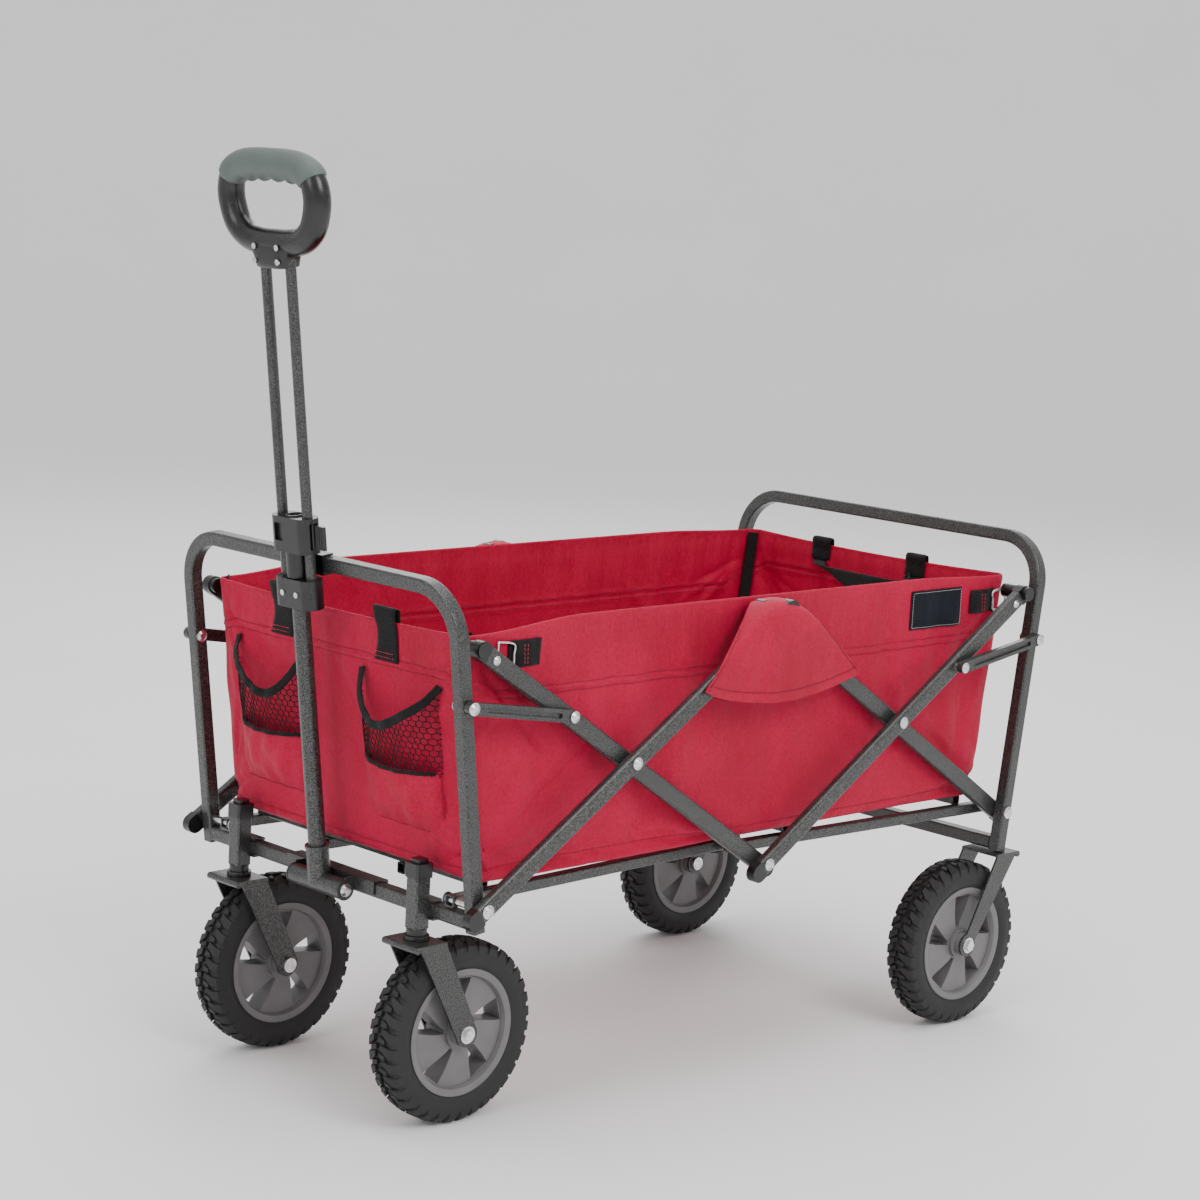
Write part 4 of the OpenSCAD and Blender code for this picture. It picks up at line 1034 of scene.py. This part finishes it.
# ---- grip ----
def make_grip():
    """The moulded loop with its flared base, and the soft pad with finger hollows round its top."""
    ahead = Vector((up_post.z, 0, -up_post.x))
    zero = pivot("handle_pivot") + up_post * 0.017        # the handle's own zero height

    def place(y, v, h=0.0):
        q = zero + up_post * v + ahead * h
        return np.array([q.x, y, q.z])

    right = [(0, 716.5, 12.6), (24, 716.3, 12.6), (46, 713.5, 12.8), (62, 705, 13.4), (68.3, 690, 13.8),
             (67.2, 674, 13.8), (59, 655.5, 13.8), (43, 644, 13.6), (22, 640.5, 13.4), (0, 640, 13.4)]
    loop = right + [(-y, v, r) for y, v, r in right[-2:0:-1]]
    n = len(loop)
    pts = np.array([(y * MM, v * MM, r * MM) for y, v, r in loop + loop[:1]])
    padded = np.vstack([pts[-2], pts, pts[1]])
    path = []
    for i in range(1, n + 1):
        for t in np.linspace(0, 1, 8, endpoint=False):
            p0, p1, p2, p3 = padded[i - 1], padded[i], padded[i + 1], padded[i + 2]
            path.append(0.5 * (2 * p1 + (p2 - p0) * t + (2 * p0 - 5 * p1 + 4 * p2 - p3) * t * t
                               + (3 * p1 - p0 - 3 * p2 + p3) * t ** 3))
    path = np.array(path)
    tangent = np.roll(path[:, :2], -1, 0) - np.roll(path[:, :2], 1, 0)
    tangent /= np.linalg.norm(tangent, axis=1)[:, None]
    outward = np.stack([-tangent[:, 1], tangent[:, 0]], 1)
    turn = np.linspace(0, 2 * math.pi, 28, endpoint=False)
    rings = [[place(*(q[:2] + o * q[2] * math.cos(a)), h=q[2] * 0.97 * math.sin(a)) for a in turn]
             for q, o in zip(path, outward)]
    b = Builder()
    b.grid(rings, wrap_rows=True, wrap_cols=True)
    # flared base: rounded blocks from the collar of the rods up into the loop
    levels = [(616, 21.0, 12.0), (616.8, 22.6, 13.2), (620, 23.2, 13.7), (626, 25.5, 13.8), (632, 30, 13.8),
              (637, 36, 13.0), (641, 40, 10.5)]

    def squared(q):
        return math.copysign(abs(q) ** 0.45, q)

    base = [[place(w * MM * squared(math.cos(a)), v * MM, h=d * MM * squared(math.sin(a)))
             for a in np.linspace(0, 2 * math.pi, 40, endpoint=False)] for v, w, d in levels]
    b.grid(base, wrap_cols=True)
    b.cap(base[0][::-1])
    b.cap(base[-1])
    piece = b.piece("grip_loop", plastic)
    fix_normals(piece, 0.9)
    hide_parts("handle_grip")
    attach(piece, "telescope")
    top = [i for i in range(len(path)) if path[i, 1] > 0.7015]
    order = sorted(top, key=lambda i: path[i, 0])
    ys = path[order, 0]
    dense = np.linspace(ys[0], ys[-1], 121)
    pv = np.interp(dense, ys, path[order, 1])
    pr = np.interp(dense, ys, path[order, 2])
    slope = np.gradient(pv, dense)
    finger_pitch = 0.0225
    rings = []
    for y, v, r, sl in zip(dense, pv, pr, slope):
        t = np.array([1, sl]) / math.hypot(1, sl)
        o = np.array([-t[1], t[0]])
        end = min(1.0, (dense[-1] - abs(y)) / 0.004)
        grow = 0.0004 + 0.0018 * math.sqrt(max(0.0, 1 - (1 - end) ** 2))
        ring = []
        for a in turn:
            under = max(0.0, -math.cos(a)) ** 1.5
            wave = (math.cos(2 * math.pi * y / finger_pitch + math.pi) * 0.5 + 0.5) ** 1.6
            rr = r + grow + 0.0034 * under * wave * (abs(y) < 0.0455) * end
            ring.append(place(*(np.array([y, v]) + o * rr * math.cos(a)), h=(r + grow) * 0.985 * math.sin(a)))
        rings.append(ring)
    b = Builder()
    b.grid(rings, wrap_cols=True)
    b.cap(rings[0][::-1])
    b.cap(rings[-1])
    piece = b.piece("grip_soft_pad", pad_rubber)
    fix_normals(piece, 1.0)
    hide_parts("grip_pad")
    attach(piece, "telescope")


# ---- camera, light and floor ----
def make_camera():
    azimuth, elevation, roll = math.radians(136.22), math.radians(9.066), math.radians(2.945)
    level = math.cos(elevation)
    back = Vector((math.sin(azimuth) * level, -math.cos(azimuth) * level, math.sin(elevation)))
    right = Vector((math.cos(azimuth), math.sin(azimuth), 0))
    up = back.cross(right)
    r = math.cos(roll) * right + math.sin(roll) * up
    u = -math.sin(roll) * right + math.cos(roll) * up
    cam = bpy.data.objects.new("camera", bpy.data.cameras.new("camera"))
    cam.data.lens = 86.43
    cam.data.sensor_width = 36
    cam.data.clip_end = 60
    place = Vector((middle + 2.2127, 2.2659, 0.9895))
    cam.matrix_world = Matrix(((r.x, u.x, back.x, place.x), (r.y, u.y, back.y, place.y),
                               (r.z, u.z, back.z, place.z), (0, 0, 0, 1)))
    bpy.context.scene.collection.objects.link(cam)
    bpy.context.scene.camera = cam


def area_light(name, place, target, size, power):
    data = bpy.data.lights.new(name, "AREA")
    data.size, data.energy = size, power
    ob = bpy.data.objects.new(name, data)
    ob.location = place
    ob.rotation_euler = (Vector(target) - Vector(place)).to_track_quat("-Z", "Y").to_euler()
    bpy.context.scene.collection.objects.link(ob)


def make_stage():
    mat, add, link, shader = new_material("pale_floor")
    place = add("TexCoord").outputs["Object"]
    cloud = add("TexNoise", {"Vector": place}, Scale=2.0, Detail=2.0)
    link(ramp(add, cloud.outputs["Fac"], [(0.3, grey(0.93)), (0.7, grey(0.95))]), shader.inputs["Base Color"])
    shader.inputs["Roughness"].default_value = 0.8
    sweep = [(0.0, 0.0), (2.0, 0.0), (4.0, 0.0), (6.0, 0.0), (6.8, 0.05), (7.6, 0.25), (8.3, 0.7), (8.8, 1.4),
             (9.0, 2.3), (9.0, 4.5)]
    turn = np.linspace(0, 2 * math.pi, 72, endpoint=False)
    b = Builder()
    b.grid([[(r * math.cos(t), r * math.sin(t), z) for t in turn] for r, z in sweep], wrap_cols=True)
    b.piece("floor", mat)
    world = bpy.data.worlds.new("studio")
    bpy.context.scene.world = world
    world.use_nodes = True
    world.node_tree.nodes["Background"].inputs["Color"].default_value = (1, 1, 1, 1)
    world.node_tree.nodes["Background"].inputs["Strength"].default_value = 0.9
    target = (middle, 0, 0.4)
    area_light("key", (middle + 0.4, 3.2, 2.9), target, 1.8, 70)
    area_light("front", (middle + 3.6, 0.2, 2.0), target, 1.6, 26)
    area_light("back", (middle - 2.4, -2.4, 2.6), target, 2.4, 40)
    area_light("top", (middle, 0.0, 3.8), target, 2.6, 55)


make_camera()
make_stage()
dress_frame()
make_tub()
make_tub_stitches()
make_side_tabs()
make_patch()
make_front_straps()
make_rear_loop()
make_corner_binding()
make_flaps()
make_pockets()
make_mats()
make_tyres()
make_grip()
